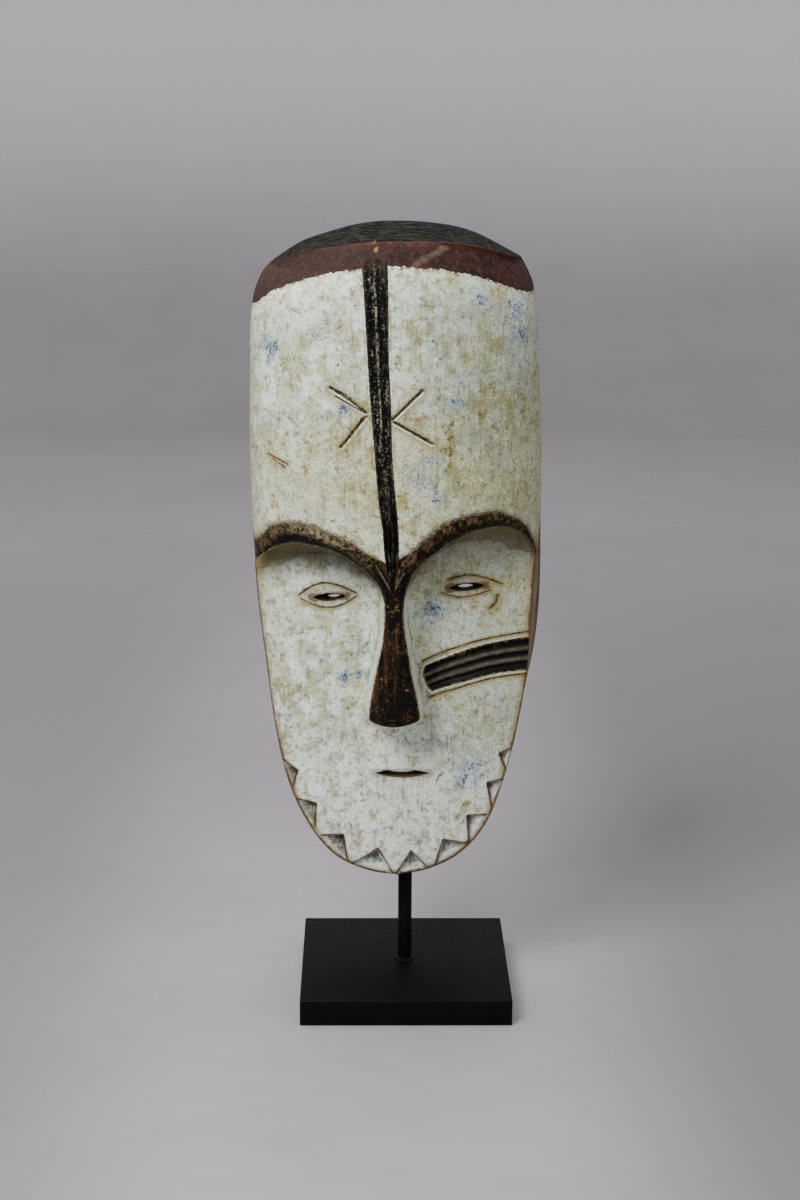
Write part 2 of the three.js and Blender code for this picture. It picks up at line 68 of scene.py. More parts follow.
# Outline and depths of the block
CHIN_Z = mask_low.z / MM
BACK_Y = mask_high.y / MM
WIDEST_Y = 8.0
LEFT_SIDE = [
    (-6, 94.3), (-27, 97.4), (-51, 108), (-70, 130), (-84.8, 162), (-94.5, 204), (-101.2, 255),
    (-106, 297), (-109, 345), (-110.5, 397), (-110, 450), (-108.5, 496), (-102, 517), (-94.5, 526),
]
RIGHT_SIDE = [
    (-6, 94.3), (18, 98.5), (41, 109.7), (59.7, 131.5), (72.3, 164), (83.8, 208), (92.6, 250),
    (96, 296), (95.4, 345), (94.3, 400), (91.5, 455), (88, 503), (84, 518), (77.5, 530),
]
TOP_ARCH = [(-94.5, 526), (-81, 535.3), (-66, 542.6), (-30, 552.3), (7, 553.3), (42, 547.5), (77.5, 530)]
FLARE_LEFT, FLARE_RIGHT, FLARE_CHEEK, FLARE_RUN = 1.5, 3.0, 7.0, 50.0
CHEEK_Z, CHEEK_REACH = 285.0, 65.0
CROWN_FALL = 0.11
CROWN_FROM_Z, SIDES_END_Z = 520.0, 530.0
SECTION_POWER = 2.4
ARCH_SAG, ARCH_SPAN = 22.0, 90.0
DOME_START, RED_EDGE, CROWN_EDGE = 509.0, 530.5, 546.5
BLOCK_MIDDLE = [(90, -55), (300, -57), (340, -60), (430, -63), (510, -61), (600, -61)]
FACE_MIDDLE = [(90, -26), (115, -31), (140, -33), (175, -33), (215, -30), (250, -27), (300, -25), (380, -25)]
FACE_RIM = [(90, -26), (140, -23), (180, -20), (230, -17), (380, -14)]
CROWN_FRONT_Y, LIP = -42.0, 2.5
INWARD = 0.05

# Brows and nose, as [x, z] along the edges of the black T
NOSE_X = -9.5
BROW_TOP_LEFT = [
    (-118, 331), (-111, 333.5), (-106.8, 337), (-103.6, 340.4), (-99.3, 346), (-94.6, 352), (-88, 355), (-79.8, 357.2),
    (-71.6, 357.4), (-63, 355.4), (-55.3, 352.4), (-47, 349.3), (-38.4, 345.5), (-31.7, 340), (-24.3, 333),
    (-18.2, 325), (-11, 310),
]
BROW_TOP_RIGHT = [
    (-11, 310), (-8, 322), (-5.4, 331), (-0.7, 336.8), (5.3, 343), (10.7, 348.7), (17.3, 354.2), (24, 358.9),
    (32.8, 362), (42.9, 364.4), (51, 365.4), (60.8, 365.3), (67.9, 362), (75.9, 357), (81.2, 351.3), (85.2, 343.8),
    (88.2, 337), (91.2, 329.8), (104, 323),
]
BROW_LOW_RIGHT = [
    (104, 320.5), (91, 326.4), (88.2, 331.4), (84.4, 338), (79.6, 344.8), (74.5, 349.6), (66.3, 353), (57.9, 353.9),
    (48.9, 352.7), (40.7, 350.6), (33.9, 347.6), (26.4, 343.7), (20.4, 338.9), (14, 334.4), (7.6, 328.6),
    (2.9, 322), (-0.4, 314), (-2.4, 306.4),
]
NOSE_RIGHT = [(-3.4, 296), (-2.4, 284), (-1, 275), (0.9, 263), (2.6, 253), (4.2, 245.6), (6.4, 235.5), (8.2, 225.5)]
NOSE_BASE = [(8.6, 221.6), (7, 219.8), (4, 218.3), (-2.6, 216.5), (-8.8, 215.6), (-15, 216), (-20.5, 217.4),
             (-25, 219.2), (-26.8, 221.2)]
NOSE_LEFT = [(-26.9, 225), (-25.8, 235), (-24.2, 243), (-22.2, 253), (-20.2, 263), (-18.2, 273), (-17, 283),
             (-16.4, 296)]
BROW_LOW_LEFT = [
    (-16.5, 301.5), (-17.4, 306), (-19.6, 312), (-23.5, 317.7), (-28.6, 323), (-35, 328), (-41.9, 333), (-50, 337.5),
    (-57.5, 339.8), (-66.3, 341.3), (-76, 342.2), (-83.6, 340.6), (-92, 336.4), (-98.7, 330.6), (-103.4, 325.2),
    (-107, 320.5), (-118, 314),
]
NOSE_ROOT_Y, NOSE_TIP_Y = -58.0, -61.0
NOSE_ROOT_Z, NOSE_BASE_Z = 300.0, 221.0
NOSE_HALF_ROOT, NOSE_HALF_BASE = 6.6, 17.6
BROW_ROLL = 5.5
LEDGE_FROM_NOSE = [(0, 4), (38, 7), (50, 9.5), (64, 12.5), (78, 13), (86, 8.5), (92, 5), (97, 3), (120, 3)]

# Carved lines
BAND_LEFT = [(-33, 545), (-32.3, 529.5), (-30.7, 509.5), (-28.3, 470), (-26.6, 444), (-23.1, 402), (-21, 376),
             (-18.3, 358), (-16.8, 340), (-15, 326), (-12.5, 312)]
BAND_RIGHT = [(-15.2, 545), (-15, 530), (-14.6, 510), (-14.1, 470), (-12.7, 444), (-11.2, 402), (-9, 376.5),
              (-7.3, 358.5), (-6.6, 340), (-7.5, 326), (-9.5, 312)]
STRIPE_TOP = [(9.3, 248), (23.2, 254.6), (37.9, 261), (52.7, 265.4), (67.5, 267.6), (84.8, 269.6), (100, 271)]
STRIPE_BOTTOM = [(14.7, 229.8), (28, 235.2), (41.3, 239), (56, 242.8), (71, 244.5), (84.6, 245), (100, 245.4)]
# Each slit: its ends and height, and how its opening narrows inside the wall: the share of its length and of its
# height that is left, and how far it moves along and up
EYE_SLITS = [
    ((-66.4, 298.6), (-42.4, 299.8), 5.8, (0.42, 0.46, 3.2, -1.3)),
    ((28.2, 305.8), (54.2, 307.6), 5.8, (0.46, 0.46, -0.6, -1.3)),
]
MOUTH_SLIT = ((-22.8, 173.6), (16.6, 173.2), 6.6, (0.54, 0.42, -0.6, -0.9))
SLIT_FROM_Y, SLIT_TO_Y = -90.0, 6.0
SLIT_NARROWS = 7.0
JAW_NOTCHES = [
    ((-88.6, 180.4), (-76.9, 172.6), (-80.3, 160.5)), ((-78.5, 151.3), (-64.1, 149), (-65, 129.5)),
    ((-60, 124.3), (-45, 126.4), (-41.4, 104)), ((-38.6, 102.5), (-20, 116.6), (-9.2, 95.6)),
    ((-7, 95.6), (3.5, 114.3), (15.1, 101)), ((20.9, 102), (26.3, 122.9), (43.4, 118.4)),
    ((45, 120), (43.2, 140.4), (57, 139.8)), ((60.5, 146.5), (57.3, 163.8), (70, 165.9)),
    ((70.8, 172), (65.5, 185.2), (75, 188)),
]
NOTCH_DEEP, NOTCH_SHALLOW, NOTCH_OVERRUN = 4.8, 0.8, 1.45
# Each knife line: its points, width and depth
KNIFE_LINES = [
    ([(-75, 299.8), (-66.5, 306), (-57.4, 308.7), (-46, 306.2), (-35.9, 301.5)], 1.5, 1.0),
    ([(-73.5, 296.6), (-64, 292.6), (-54, 291.2), (-44, 293.6), (-35.2, 299.3)], 1.4, 0.9),
    ([(28.5, 311.6), (35, 313.6), (43.2, 314.6), (54, 312.4), (65.9, 307.6)], 1.6, 1.1),
    ([(23.6, 302), (35, 299), (47.6, 300.4), (57.5, 303.6)], 1.3, 0.7),
    ([(62.6, 299), (61.6, 294), (58, 290.6)], 3.0, 1.4),
    ([(-11.7, 430), (8.1, 449.4)], 2.5, 1.7),
    ([(-11, 428.7), (14.6, 413.9)], 2.3, 1.6),
    ([(-53, 450.8), (-40, 443), (-29.9, 434.8)], 2.6, 1.8),
    ([(-49, 445), (-31.2, 435.2)], 1.5, 1.0),
    ([(-29.2, 432.3), (-45.4, 411.3)], 2.6, 1.6),
    ([(-94.7, 402), (-82, 397)], 1.3, 0.8),
    ([(-92, 399.5), (-84, 394.5)], 1.1, 0.6),
    ([(11, 252.5), (30, 261.5), (52.7, 268.4), (84.8, 272.6), (98, 273.6)], 1.3, 0.7),
    ([(16, 226.6), (30, 232), (56, 239.6), (84, 242), (98, 242.4)], 1.3, 0.7),
]
KNIFE_SPREAD, USUAL_CUT = 1.35, 1.7
# Grooves across the band, high and low on it, and across the stripe: middle and reach as shares of the width
HIGH_GROOVES = [(0.27, 0.2), (0.68, 0.19)]
LOW_GROOVES = [(0.2, 0.15), (0.5, 0.14), (0.8, 0.15)]
STRIPE_GROOVES = [(0.2, 0.14), (0.5, 0.14), (0.8, 0.14)]
BAND_CUT, STRIPE_CUT = 1.7, 1.5

# Walls of the hollow
FACE_WALL, FOREHEAD_WALL, SIDE_WALL, CROWN_WALL = 10.5, 14.0, 13.0, 17.0
HOLLOW_FLOOR_Z, HOLLOW_MIDDLE_Z, TOP_Z = 128.0, 330.0, 553.3
BROW_SHELF = (352.0, 404.0)
SOCKET_TOP_Z, SOCKET_RADIUS = 118.3, 5.3

# Longest edges of the mesh: in the hollow, on the plain face, near and on the black T and at its edges, in the band,
# in the stripe, near a cut and in it
HOLLOW_MESH, PLAIN_MESH, NEAR_T_MESH, T_MESH, T_EDGE_MESH = 5.0, 3.5, 2.4, 1.7, 0.95
BAND_MESH, STRIPE_MESH, NEAR_CUT_MESH, CUT_MESH = 0.95, 1.05, 1.8, 0.7
# Grids of the front and the hollow: columns, rows and rounds of refining; and the rows of their side walls
FRONT_GRID, HOLLOW_GRID = (76, 172, 4), (40, 92, 2)
FRONT_WALL_ROWS, HOLLOW_WALL_ROWS = 8, 6

# The front ends a little inside its rim and drops over it, so that the edge is eased
RIM_EASE, RIM_DROP, BACK_EASE = 0.991, 0.9, 1.1

# Edges sharper than this many degrees stay crisp
MASK_CREASE, ROD_CREASE, BOARD_CREASE, FLOOR_CREASE = 50, 35, 40, 60
# Points that are closer than this many metres become one
MERGE = 1e-6

# Rod and board
HALF_ROD, GAP = 5.0, 0.3
BEAD_RADIUS, BEAD_HEIGHT, BEAD_GAP = 7.5, 1.6, 0.05
ROD_STEPS, FLOOR_STEPS = 48, 96
ROD_ROUGHNESS, BOARD_ROUGHNESS = 0.42, 0.55

# Every noise is spread about its middle by this much
NOISE_GAIN = 1.8

# Noises of the finishes: size, detail, roughness, stretch and seed
EVEN = (1, 1, 1)
MASK_GRAINS = {
    "fine": (1.3, 2.0, 0.6, EVEN, 1.7), "specks": (2.6, 4.0, 0.65, EVEN, 4.1), "crumbs": (4.6, 6.0, 0.72, EVEN, 0.6),
    "mid": (9.0, 5.0, 0.62, EVEN, 2.3), "patches": (16.0, 6.0, 0.66, EVEN, 5.4), "large": (38.0, 3.0, 0.5, EVEN, 6.9),
    "streaks": (2.2, 4.0, 0.6, (1, 1, 9), 3.3), "long_streaks": (5.0, 4.0, 0.6, (1, 1, 7), 8.2),
    "strokes": (1.7, 4.0, 0.6, (7, 1, 1), 9.4), "wood_grain": (2.2, 5.0, 0.62, (1, 1, 16), 7.7),
}
LACQUER_GRAINS = {
    "dust": (7.0, 5.0, 0.6, EVEN, 2.9), "fine": (1.6, 2.0, 0.5, EVEN, 6.1), "tooth": (1.1, 3.0, 0.55, EVEN, 3.8),
}
FLOOR_GRAINS = {"clouds": (260.0, 5.0, 0.6, EVEN, 1.3), "weave": (28.0, 4.0, 0.6, (3, 1, 1), 5.1)}

# Camera and stage: the camera's place and the floor's gap are millimetres, the other sizes of the stage metres
CAMERA_LENS, CAMERA_PLACE = 65.7, (-28.63, -1497.0, 678.13)
CAMERA_DOWN, CAMERA_TURN, CAMERA_ROLL = 14.492, -0.907, 0.353
# The floor's radius, the radius of its curve and the height of the wall
SWEEP = (2.4, 0.9, 1.4)
FLOOR_GAP = 0.1
LAMP_TARGET = (0.0, 0.0, 0.3)
# Each lamp: name, place, size, share of the lamp power and colour
LAMPS = [
    ("left_lamp", (-1.1, -1.5, 2.1), 1.0, 1.62, (0.965, 1.0, 0.975)),
    ("right_lamp", (1.6, -1.3, 1.0), 1.2, 0.16, (0.98, 0.99, 1.0)),
    ("top_lamp", (-0.2, 0.5, 2.8), 2.6, 1.7, (1.0, 1.0, 1.0)),
]
ROOM_COLOR, ROOM_STRENGTH = (0.97, 0.98, 1.0), 0.34

# Stains on the front: x, z, reach and strength
BLUE_STAINS = [
    (-93, 474, 7, 1.0), (-97, 480, 5, 0.6), (-64, 484.5, 6, 0.6), (-84, 488, 6, 0.35), (46, 509, 7, 0.8),
    (52, 504, 5, 0.6), (70.5, 500, 9, 0.75), (75, 484, 7, 0.7), (72, 470, 6, 0.45), (78, 450, 5, 0.4),
    (30, 442, 5, 0.8), (34, 457, 5, 0.4), (20, 470, 6, 0.35), (-44, 438, 5, 0.95), (-58, 432, 7, 0.45),
    (-52, 444, 4, 0.5), (0, 394, 6, 0.55), (8, 387, 9, 0.5), (19, 376, 5, 0.75), (15, 402, 7, 0.5),
    (-100, 420, 7, 0.3), (-78, 322, 3, 0.6), (18, 290.5, 9, 0.85), (26, 297, 6, 0.5), (-102, 262, 4, 0.8),
    (-59, 253, 6, 0.6), (-44, 242, 5, 1.1), (-34, 244, 5, 0.9), (-27, 246, 3, 0.5), (-88, 213, 6, 0.5),
    (-83, 209, 5, 0.4), (45, 174, 10, 0.7), (39, 166, 5, 0.9), (53, 168, 6, 0.7), (18, 194, 7, 0.45),
    (-20, 134, 7, 0.3), (5, 121, 6, 0.45), (-94, 186, 5, 0.5), (60, 400, 9, 0.25), (40, 420, 8, 0.25),
]
# Grey smudges; some of them are painted shade beside and under the nose and under the brows
GREY_STAINS_AND_SHADE = [
    (-30, 262, 12, 0.8), (-34, 247, 9, 0.5), (-42, 200, 20, 0.55), (-28, 190, 14, 0.4), (30, 198, 13, 0.85),
    (24, 210, 10, 0.5), (-72, 262, 9, 0.5), (-60, 321, 13, 0.75), (20, 316, 13, 0.5), (30, 331, 14, 0.35),
    (-1, 155, 9, 0.5), (-29, 166, 13, 0.35), (48, 180, 12, 0.4), (12, 392, 12, 0.5), (30, 385, 13, 0.45),
    (34, 446, 22, 0.5), (62, 420, 26, 0.5), (20, 484, 22, 0.4), (60, 470, 22, 0.4), (70, 380, 18, 0.4),
    (-88, 487, 9, 0.4), (-44, 437, 8, 0.4), (-75, 230, 14, 0.3), (-56, 132, 8, 0.4), (10, 140, 16, 0.25),
    (55, 222, 16, 0.3), (72, 205, 12, 0.35),
]
OCHRE_STAINS = [
    (-38, 405, 20, 0.6), (-66, 393, 20, 0.35), (-25, 364, 12, 0.6), (-4, 374, 10, 0.8), (1, 431, 12, 0.8),
    (-38, 428, 13, 0.75), (-40, 350, 14, 0.35), (26, 410, 9, 0.85), (27, 398, 6, 0.6), (49, 434, 6, 0.75),
    (64, 442, 7, 0.6), (36, 471, 7, 0.7), (10, 505, 9, 0.5), (0, 488, 9, 0.5), (-6, 468, 10, 0.5), (-33, 520, 6, 0.5),
    (-50, 470, 10, 0.35), (-68, 476, 7, 0.5), (-90, 515, 10, 0.5), (60, 514, 10, 0.7), (0, 525, 9, 0.55),
    (-36, 480, 9, 0.45), (-34, 450, 9, 0.4), (82, 440, 12, 0.4), (-86, 195, 9, 0.6), (-84, 226, 12, 0.35),
    (-41, 132, 10, 0.6), (-100, 322, 7, 0.8), (82, 311, 10, 0.7), (70, 300, 14, 0.4), (-96, 290, 10, 0.35),
    (-103, 319, 5, 1.3), (40, 150, 12, 0.25), (14, 252, 8, 0.35), (42, 149, 2.2, 1.7), (35, 140, 1.8, 1.3),
    (62, 290, 6, 0.7), (-60, 290, 10, 0.4), (5, 355, 12, 0.5), (60, 350, 14, 0.3), (-104, 250, 7, 0.4),
    (88, 230, 8, 0.5), (28, 428, 3, 1.1), (28, 418, 3, 1.25), (27.5, 408, 3.2, 1.3), (27, 399, 3, 1.15),
    (47, 432, 4, 1.2), (48, 440, 3, 0.9), (-30, 385, 12, 0.55), (-44, 372, 12, 0.5), (-26, 400, 8, 0.6),
    (-55, 412, 12, 0.4),
]
WHITE_STAINS = [
    (-60, 515, 18, 0.7), (-75, 498, 16, 0.4), (8, 382, 9, 0.9), (12, 396, 8, 0.5), (72, 496, 12, 0.9),
    (77, 470, 9, 0.7), (74, 400, 10, 0.5), (-66, 300, 16, 0.3), (-80, 275, 20, 0.5), (-70, 180, 20, 0.4),
    (-10, 190, 14, 0.4), (10, 112, 14, 0.5), (40, 125, 14, 0.5), (60, 160, 10, 0.4), (-30, 110, 12, 0.6),
    (60, 230, 14, 0.5), (0, 124, 28, 1.0), (-46, 116, 14, 0.8), (-24, 122, 18, 0.8), (30, 124, 18, 0.9),
    (80, 300, 8, 0.5), (40, 285, 14, 0.3), (-90, 440, 18, 0.3), (0, 144, 24, 0.7),
]
DARK_SPECKS = [
    (15, 482, 1.6, 1.0), (-56, 135, 1.8, 1.0), (-37, 128, 1.5, 0.6), (-71, 191, 1.3, 1.0), (-76, 436, 2.0, 0.5),
    (24, 171, 2.2, 0.8), (21, 168, 1.4, 0.8), (66, 506, 1.8, 0.8), (70, 488, 1.4, 0.8), (-48, 466, 1.8, 0.9),
    (-66, 488, 1.2, 0.7), (-40, 476, 1.1, 0.7), (54, 292, 2.0, 0.6), (60, 178, 1.6, 0.6), (8, 468, 1.2, 0.6),
    (-70, 459, 1.1, 0.6), (-92, 374, 1.2, 0.5), (40, 392, 1.4, 0.5), (-62, 215, 1.3, 0.6), (-44, 262, 1.6, 0.6),
]
CROWN_SPOTS = [(-23, 541, 2.0, 1.0), (-24, 545, 1.6, 0.7)]
MAUVE_SMEAR = [((2, 531), (10, 536)), ((10, 536), (22, 541))]
V_LINE = [((-20.0, 325.5), (-11.0, 310.5)), ((-11.0, 310.5), (-3.0, 325.0))]
STAINS = {
    "blue": BLUE_STAINS, "grey": GREY_STAINS_AND_SHADE, "ochre": OCHRE_STAINS, "white": WHITE_STAINS, "specks": DARK_SPECKS,
    "crown_spots": CROWN_SPOTS,
}


# Small helpers
def smoothstep(low, high, value):
    """0 below `low`, 1 above `high` and smooth between."""
    t = np.clip((value - low) / (high - low), 0.0, 1.0)
    return t * t * (3.0 - 2.0 * t)


def mix(a, b, t):
    """From `a` at 0 to `b` at 1."""
    return a + (b - a) * t


def spline(points, steps=12):
    """Smooth line through the points, as an array with `steps` pieces for each span."""
    p = np.array([points[0], *points, points[-1]], float)
    t = np.linspace(0, 1, steps, endpoint=False)[:, None]
    spans = []
    for a, b, c, d in zip(p, p[1:], p[2:], p[3:]):
        start, end = (c - a) / 2, (d - b) / 2
        spans.append((2 * b - 2 * c + start + end) * t**3 + (3 * c - 3 * b - 2 * start - end) * t**2 + start * t + b)
    return np.vstack([*spans, p[-1:]])


def by_height(points):
    """Table of a smooth line for np.interp, read by its first coordinate."""
    line = spline(points)
    return line[:, 0], line[:, 1]


def read(table, value):
    """Reads a table of two columns, with straight lines between its rows."""
    return np.interp(value, table[0], table[1])


def line_distance(x, z, line):
    """Shortest distance from each (x, z) to a line of points."""
    best = np.full(np.shape(x), 1e9)
    for (x1, z1), (x2, z2) in zip(line, line[1:]):
        dx, dz = x2 - x1, z2 - z1
        t = np.clip(((x - x1) * dx + (z - z1) * dz) / max(dx * dx + dz * dz, 1e-9), 0, 1)
        best = np.minimum(best, np.hypot(x - x1 - t * dx, z - z1 - t * dz))
    return best


def inside(x, z, loop):
    """True where (x, z) is inside the closed loop."""
    odd = np.zeros(np.shape(x), bool)
    for (x1, z1), (x2, z2) in zip(loop, [*loop[1:], loop[0]]):
        if z1 == z2:
            continue
        crosses = (z1 > z) != (z2 > z)
        odd ^= crosses & (x < (x2 - x1) * (z - z1) / (z2 - z1) + x1)
    return odd


def wobble(x, y, z, size, seed=0.0):
    """Soft noise from -1 to 1 with lumps of about the given size."""
    return np.array([
        noise.noise(Vector((a / size + seed, b / size - seed, c / size + 2 * seed))) for a, b, c in zip(x, y, z)
    ])


# Form of the block
left_side, right_side, top_arch = spline(LEFT_SIDE), spline(RIGHT_SIDE), spline(TOP_ARCH)
LEFT_X = (left_side[:, 1], left_side[:, 0])
RIGHT_X = (right_side[:, 1], right_side[:, 0])
BLOCK_Y, FACE_MIDDLE_Y, FACE_RIM_Y = by_height(BLOCK_MIDDLE), by_height(FACE_MIDDLE), by_height(FACE_RIM)


def flare(side, z):
    """How far the sides widen between front and back, by side and height."""
    cheek = FLARE_RIGHT + FLARE_CHEEK * np.exp(-(((z - CHEEK_Z) / CHEEK_REACH) ** 2))
    return np.where(side < 0, FLARE_LEFT, cheek)


def span_at(z):
    """Centre and half-width of the mask at a height, at its widest depth."""
    depth = (BACK_Y - WIDEST_Y) / FLARE_RUN
    left = read(LEFT_X, z) + flare(-1, z) * depth
    right = read(RIGHT_X, z) - flare(1, z) * depth
    return (left + right) / 2, np.maximum((right - left) / 2, 0.5)


MIDDLE_X = float(span_at(np.array(RED_EDGE))[0])


def arch_height(x, z):
    """Height measured along the arch of the crown."""
    return z + ARCH_SAG * ((x - MIDDLE_X) / ARCH_SPAN) ** 2


def body_share(x, z, widen=0.0):
    """1 on the middle line of the block, 0 at its sides, on a superellipse."""
    centre, half = span_at(z)
    ratio = np.minimum(np.abs(x - centre) / (half + widen), 1.0)
    return (1 - ratio**SECTION_POWER) ** (1 / SECTION_POWER)


def hull_y(x, z, widen=0.0):
    """Front of the uncut block: a broad forehead that rolls back to the crown."""
    roll = np.clip((arch_height(x, z) - DOME_START) / (CROWN_EDGE - DOME_START), 0, 1) ** 2
    middle = mix(read(BLOCK_Y, z), CROWN_FRONT_Y, roll)
    return mix(mix(WIDEST_Y, BACK_Y - LIP, roll), middle, body_share(x, z, widen))


def face_y(x, z):
    """The sunk face, fullest at the mouth, with a dip on each side of the nose."""
    centre, half = span_at(z)
    across = np.clip(np.abs(x - centre) / half, 0, 1)
    dipped = smoothstep(180, 235, z) * (1 - smoothstep(275, 325, z))
    beside = np.abs(x - NOSE_X)
    dip = 4.0 * dipped * np.exp(-(((beside - 25) / 15) ** 2))
    cheek = -1.6 * np.exp(-(((beside - 55) / 20) ** 2) - ((z - 255) / 40) ** 2)
    return mix(read(FACE_MIDDLE_Y, z), read(FACE_RIM_Y, z), across**2.2) + dip + cheek


# Carving
T_TOP = np.vstack([spline(BROW_TOP_LEFT, 4), spline(BROW_TOP_RIGHT, 4)])
T_LOW = np.vstack([spline(BROW_LOW_RIGHT, 4), spline(NOSE_RIGHT, 3), spline(NOSE_BASE, 3), spline(NOSE_LEFT, 3),
                   spline(BROW_LOW_LEFT, 4)])
T_LOOP = [tuple(p) for p in np.vstack([T_TOP, T_LOW])]
BAND_EDGES = [spline(BAND_LEFT, 4), spline(BAND_RIGHT, 4)]
STRIPE_EDGES = [spline(STRIPE_TOP, 4), spline(STRIPE_BOTTOM, 4)]
LEDGE_REACH = by_height(LEDGE_FROM_NOSE)
LINES = [(spline(points, 5 if len(points) > 2 else 1), width, depth) for points, width, depth in KNIFE_LINES]


def band_place(x, z):
    """Where a point lies in the forehead band: 0 at its left edge and 1 at its right; and its width."""
    left = np.interp(-z, -BAND_EDGES[0][:, 1], BAND_EDGES[0][:, 0])
    right = np.interp(-z, -BAND_EDGES[1][:, 1], BAND_EDGES[1][:, 0])
    return (x - left) / (right - left), right - left


def stripe_place(x, z):
    """The same for the cheek stripe, from its lower edge to its upper edge; and how far in from its blunt end."""
    top = np.interp(x, STRIPE_EDGES[0][:, 0], STRIPE_EDGES[0][:, 1])
    low = np.interp(x, STRIPE_EDGES[1][:, 0], STRIPE_EDGES[1][:, 1])
    across = (z - low) / (top - low)
    end = mix(STRIPE_BOTTOM[0][0], STRIPE_TOP[0][0], across) + 3.5 * np.abs(2 * np.clip(across, 0, 1) - 1) ** 3
    return across, top - low, x - end


def bump_at(t, middle, reach):
    """A smooth bump of height 1 around `middle` that ends `reach` away."""
    return np.cos(np.clip(np.abs(t - middle) / reach, 0, 1) * math.pi / 2) ** 2


def grooves(across, rows):
    """Depth, from 0 to 1, of grooves that lie side by side."""
    return np.max([bump_at(across, middle, reach) for middle, reach in rows], axis=0)


def band_grooves(x, z):
    """The band's three grooves, which become two higher up, beside a shallow one at its right edge."""
    across = band_place(x, z)[0]
    cut = mix(grooves(across, LOW_GROOVES), grooves(across, HIGH_GROOVES), smoothstep(365, 420, z))
    cut = np.maximum(cut, 0.5 * bump_at(across, 0.965, 0.06) * smoothstep(380, 430, z))
    return cut * smoothstep(312, 330, z) * (1 - smoothstep(531, 536, z))


def stripe_grooves(x, z):
    """The cheek stripe's three grooves, which end at its blunt end."""
    across, _, inward = stripe_place(x, z)
    return grooves(across, STRIPE_GROOVES) * smoothstep(-0.5, 2.5, inward)


def knife_marks(x, z):
    """Depth of the thin cuts, and distance to the nearest one, shorter for wide cuts."""
    depth = np.zeros(np.shape(x))
    nearest = np.full(np.shape(x), 1e3)
    for line, width, deep in LINES:
        away = line_distance(x, z, line)
        nearest = np.minimum(nearest, away * USUAL_CUT / width)
        depth = np.maximum(depth, deep * np.clip(1 - away / (width * KNIFE_SPREAD / 2), 0, 1) ** 1.3)
    return depth, nearest


def t_distances(x, z):
    """Signed distance to the black T of brows and nose, and distances to its upper and lower edge."""
    up, low = line_distance(x, z, T_TOP), line_distance(x, z, T_LOW)
    within = inside(x, z, T_LOOP)
    return np.where(within, 1, -1) * np.minimum(up, low), up, low


def ledge_reach(x):
    """How far down the scooped ledge under the brows reaches, read by the distance from the nose."""
    return read(LEDGE_REACH, np.abs(x - NOSE_X))


def carved_y(x, z):
    """Depth of the finished front at (x, z)."""
    signed, up, low = t_distances(x, z)
    hull, body = hull_y(x, z), body_share(x, z)

    # the T: rounded brow strips that run together into the nose
    share = np.clip(low / np.maximum(low + up, 1e-6), 0, 1)
    rolled = BROW_ROLL * body**0.5
    brow = hull + rolled * (1 - share) ** 2.2 - 0.7 * np.sin(math.pi * share)
    down = np.clip((NOSE_ROOT_Z - z) / (NOSE_ROOT_Z - NOSE_BASE_Z), 0, 1)
    nose_half = mix(NOSE_HALF_ROOT, NOSE_HALF_BASE, down**1.3)
    ridge = mix(NOSE_ROOT_Y, NOSE_TIP_Y, down)
    nose = ridge + 1.5 * np.minimum(1, np.abs(x - NOSE_X) / nose_half) ** 2 + 1.8 * (1 - np.clip(low / 2.2, 0, 1)) ** 2
    is_brow = smoothstep(286, 322, z)
    strip = mix(nose, brow, is_brow)

    # the face, reached from the T's lower edge over a scooped ledge
    edge = mix(ridge + 3.3, hull + rolled, is_brow)
    reach = mix(7.5, ledge_reach(x), is_brow)
    power = mix(3.0, 1.5, is_brow)
    fallen = 1 - (1 - np.clip(low / reach, 0, 1)) ** power
    face = face_y(x, z)
    sunk = mix(edge, face, fallen)
    worn_rim = hull_y(x, z, 1.5)
    over = worn_rim - sunk
    blend = 2.5
    soft_max = sunk + np.where(over > blend, over, np.where(over > -blend, (over + blend) ** 2 / (4 * blend), 0))
    sunk = mix(sunk, soft_max, smoothstep(170, 250, z))

    y = np.where(signed > 0, strip, np.where(up < low, hull, sunk))
    y = y + 1.0 * np.exp(-((up / 0.9) ** 2)) * (body > 0.25)

    # grooves and knife cuts
    return y + BAND_CUT * band_grooves(x, z) + STRIPE_CUT * stripe_grooves(x, z) + knife_marks(x, z)[0]


# From a square grid to the outline
def chain(side_line, arch):
    """Outline of the back rim from the chin to the middle of the crown, evenly spaced, as [x, z]."""
    line = np.vstack([side_line, arch[1:]])
    along = np.concatenate([[0], np.cumsum(np.hypot(*np.diff(line, axis=0).T))])
    even = np.linspace(0, along[-1], 1200)
    return np.stack([np.interp(even, along, line[:, 0]), np.interp(even, along, line[:, 1])], 1)


middle_of_top = int(np.argmin(np.abs(top_arch[:, 0] - MIDDLE_X)))
BACK_CHAINS = [chain(left_side, top_arch[:middle_of_top + 1]), chain(right_side, top_arch[:middle_of_top - 1:-1])]


def front_rim(points):
    """Moves points of the back outline forward to where the front surface ends."""
    x, z = points[:, 0].copy(), points[:, 1].copy()
    across = (points[:, 0] - MIDDLE_X) / ARCH_SPAN
    crown = smoothstep(CROWN_FROM_Z, SIDES_END_Z, points[:, 1]) * np.maximum(0, 1 - across**2)
    side = np.sign(across) * smoothstep(0, 0.5, np.abs(across))
    upright = 1 - smoothstep(SIDES_END_Z - 30, SIDES_END_Z, points[:, 1])
    for _ in range(8):
        forward = BACK_Y - carved_y(x, z)
        x = points[:, 0] - side * flare(side, points[:, 1]) * (forward / FLARE_RUN) * upright
        z = points[:, 1] - crown * CROWN_FALL * forward
    return np.stack([x, z], 1)


FRONT_CHAINS = [front_rim(c) for c in BACK_CHAINS]


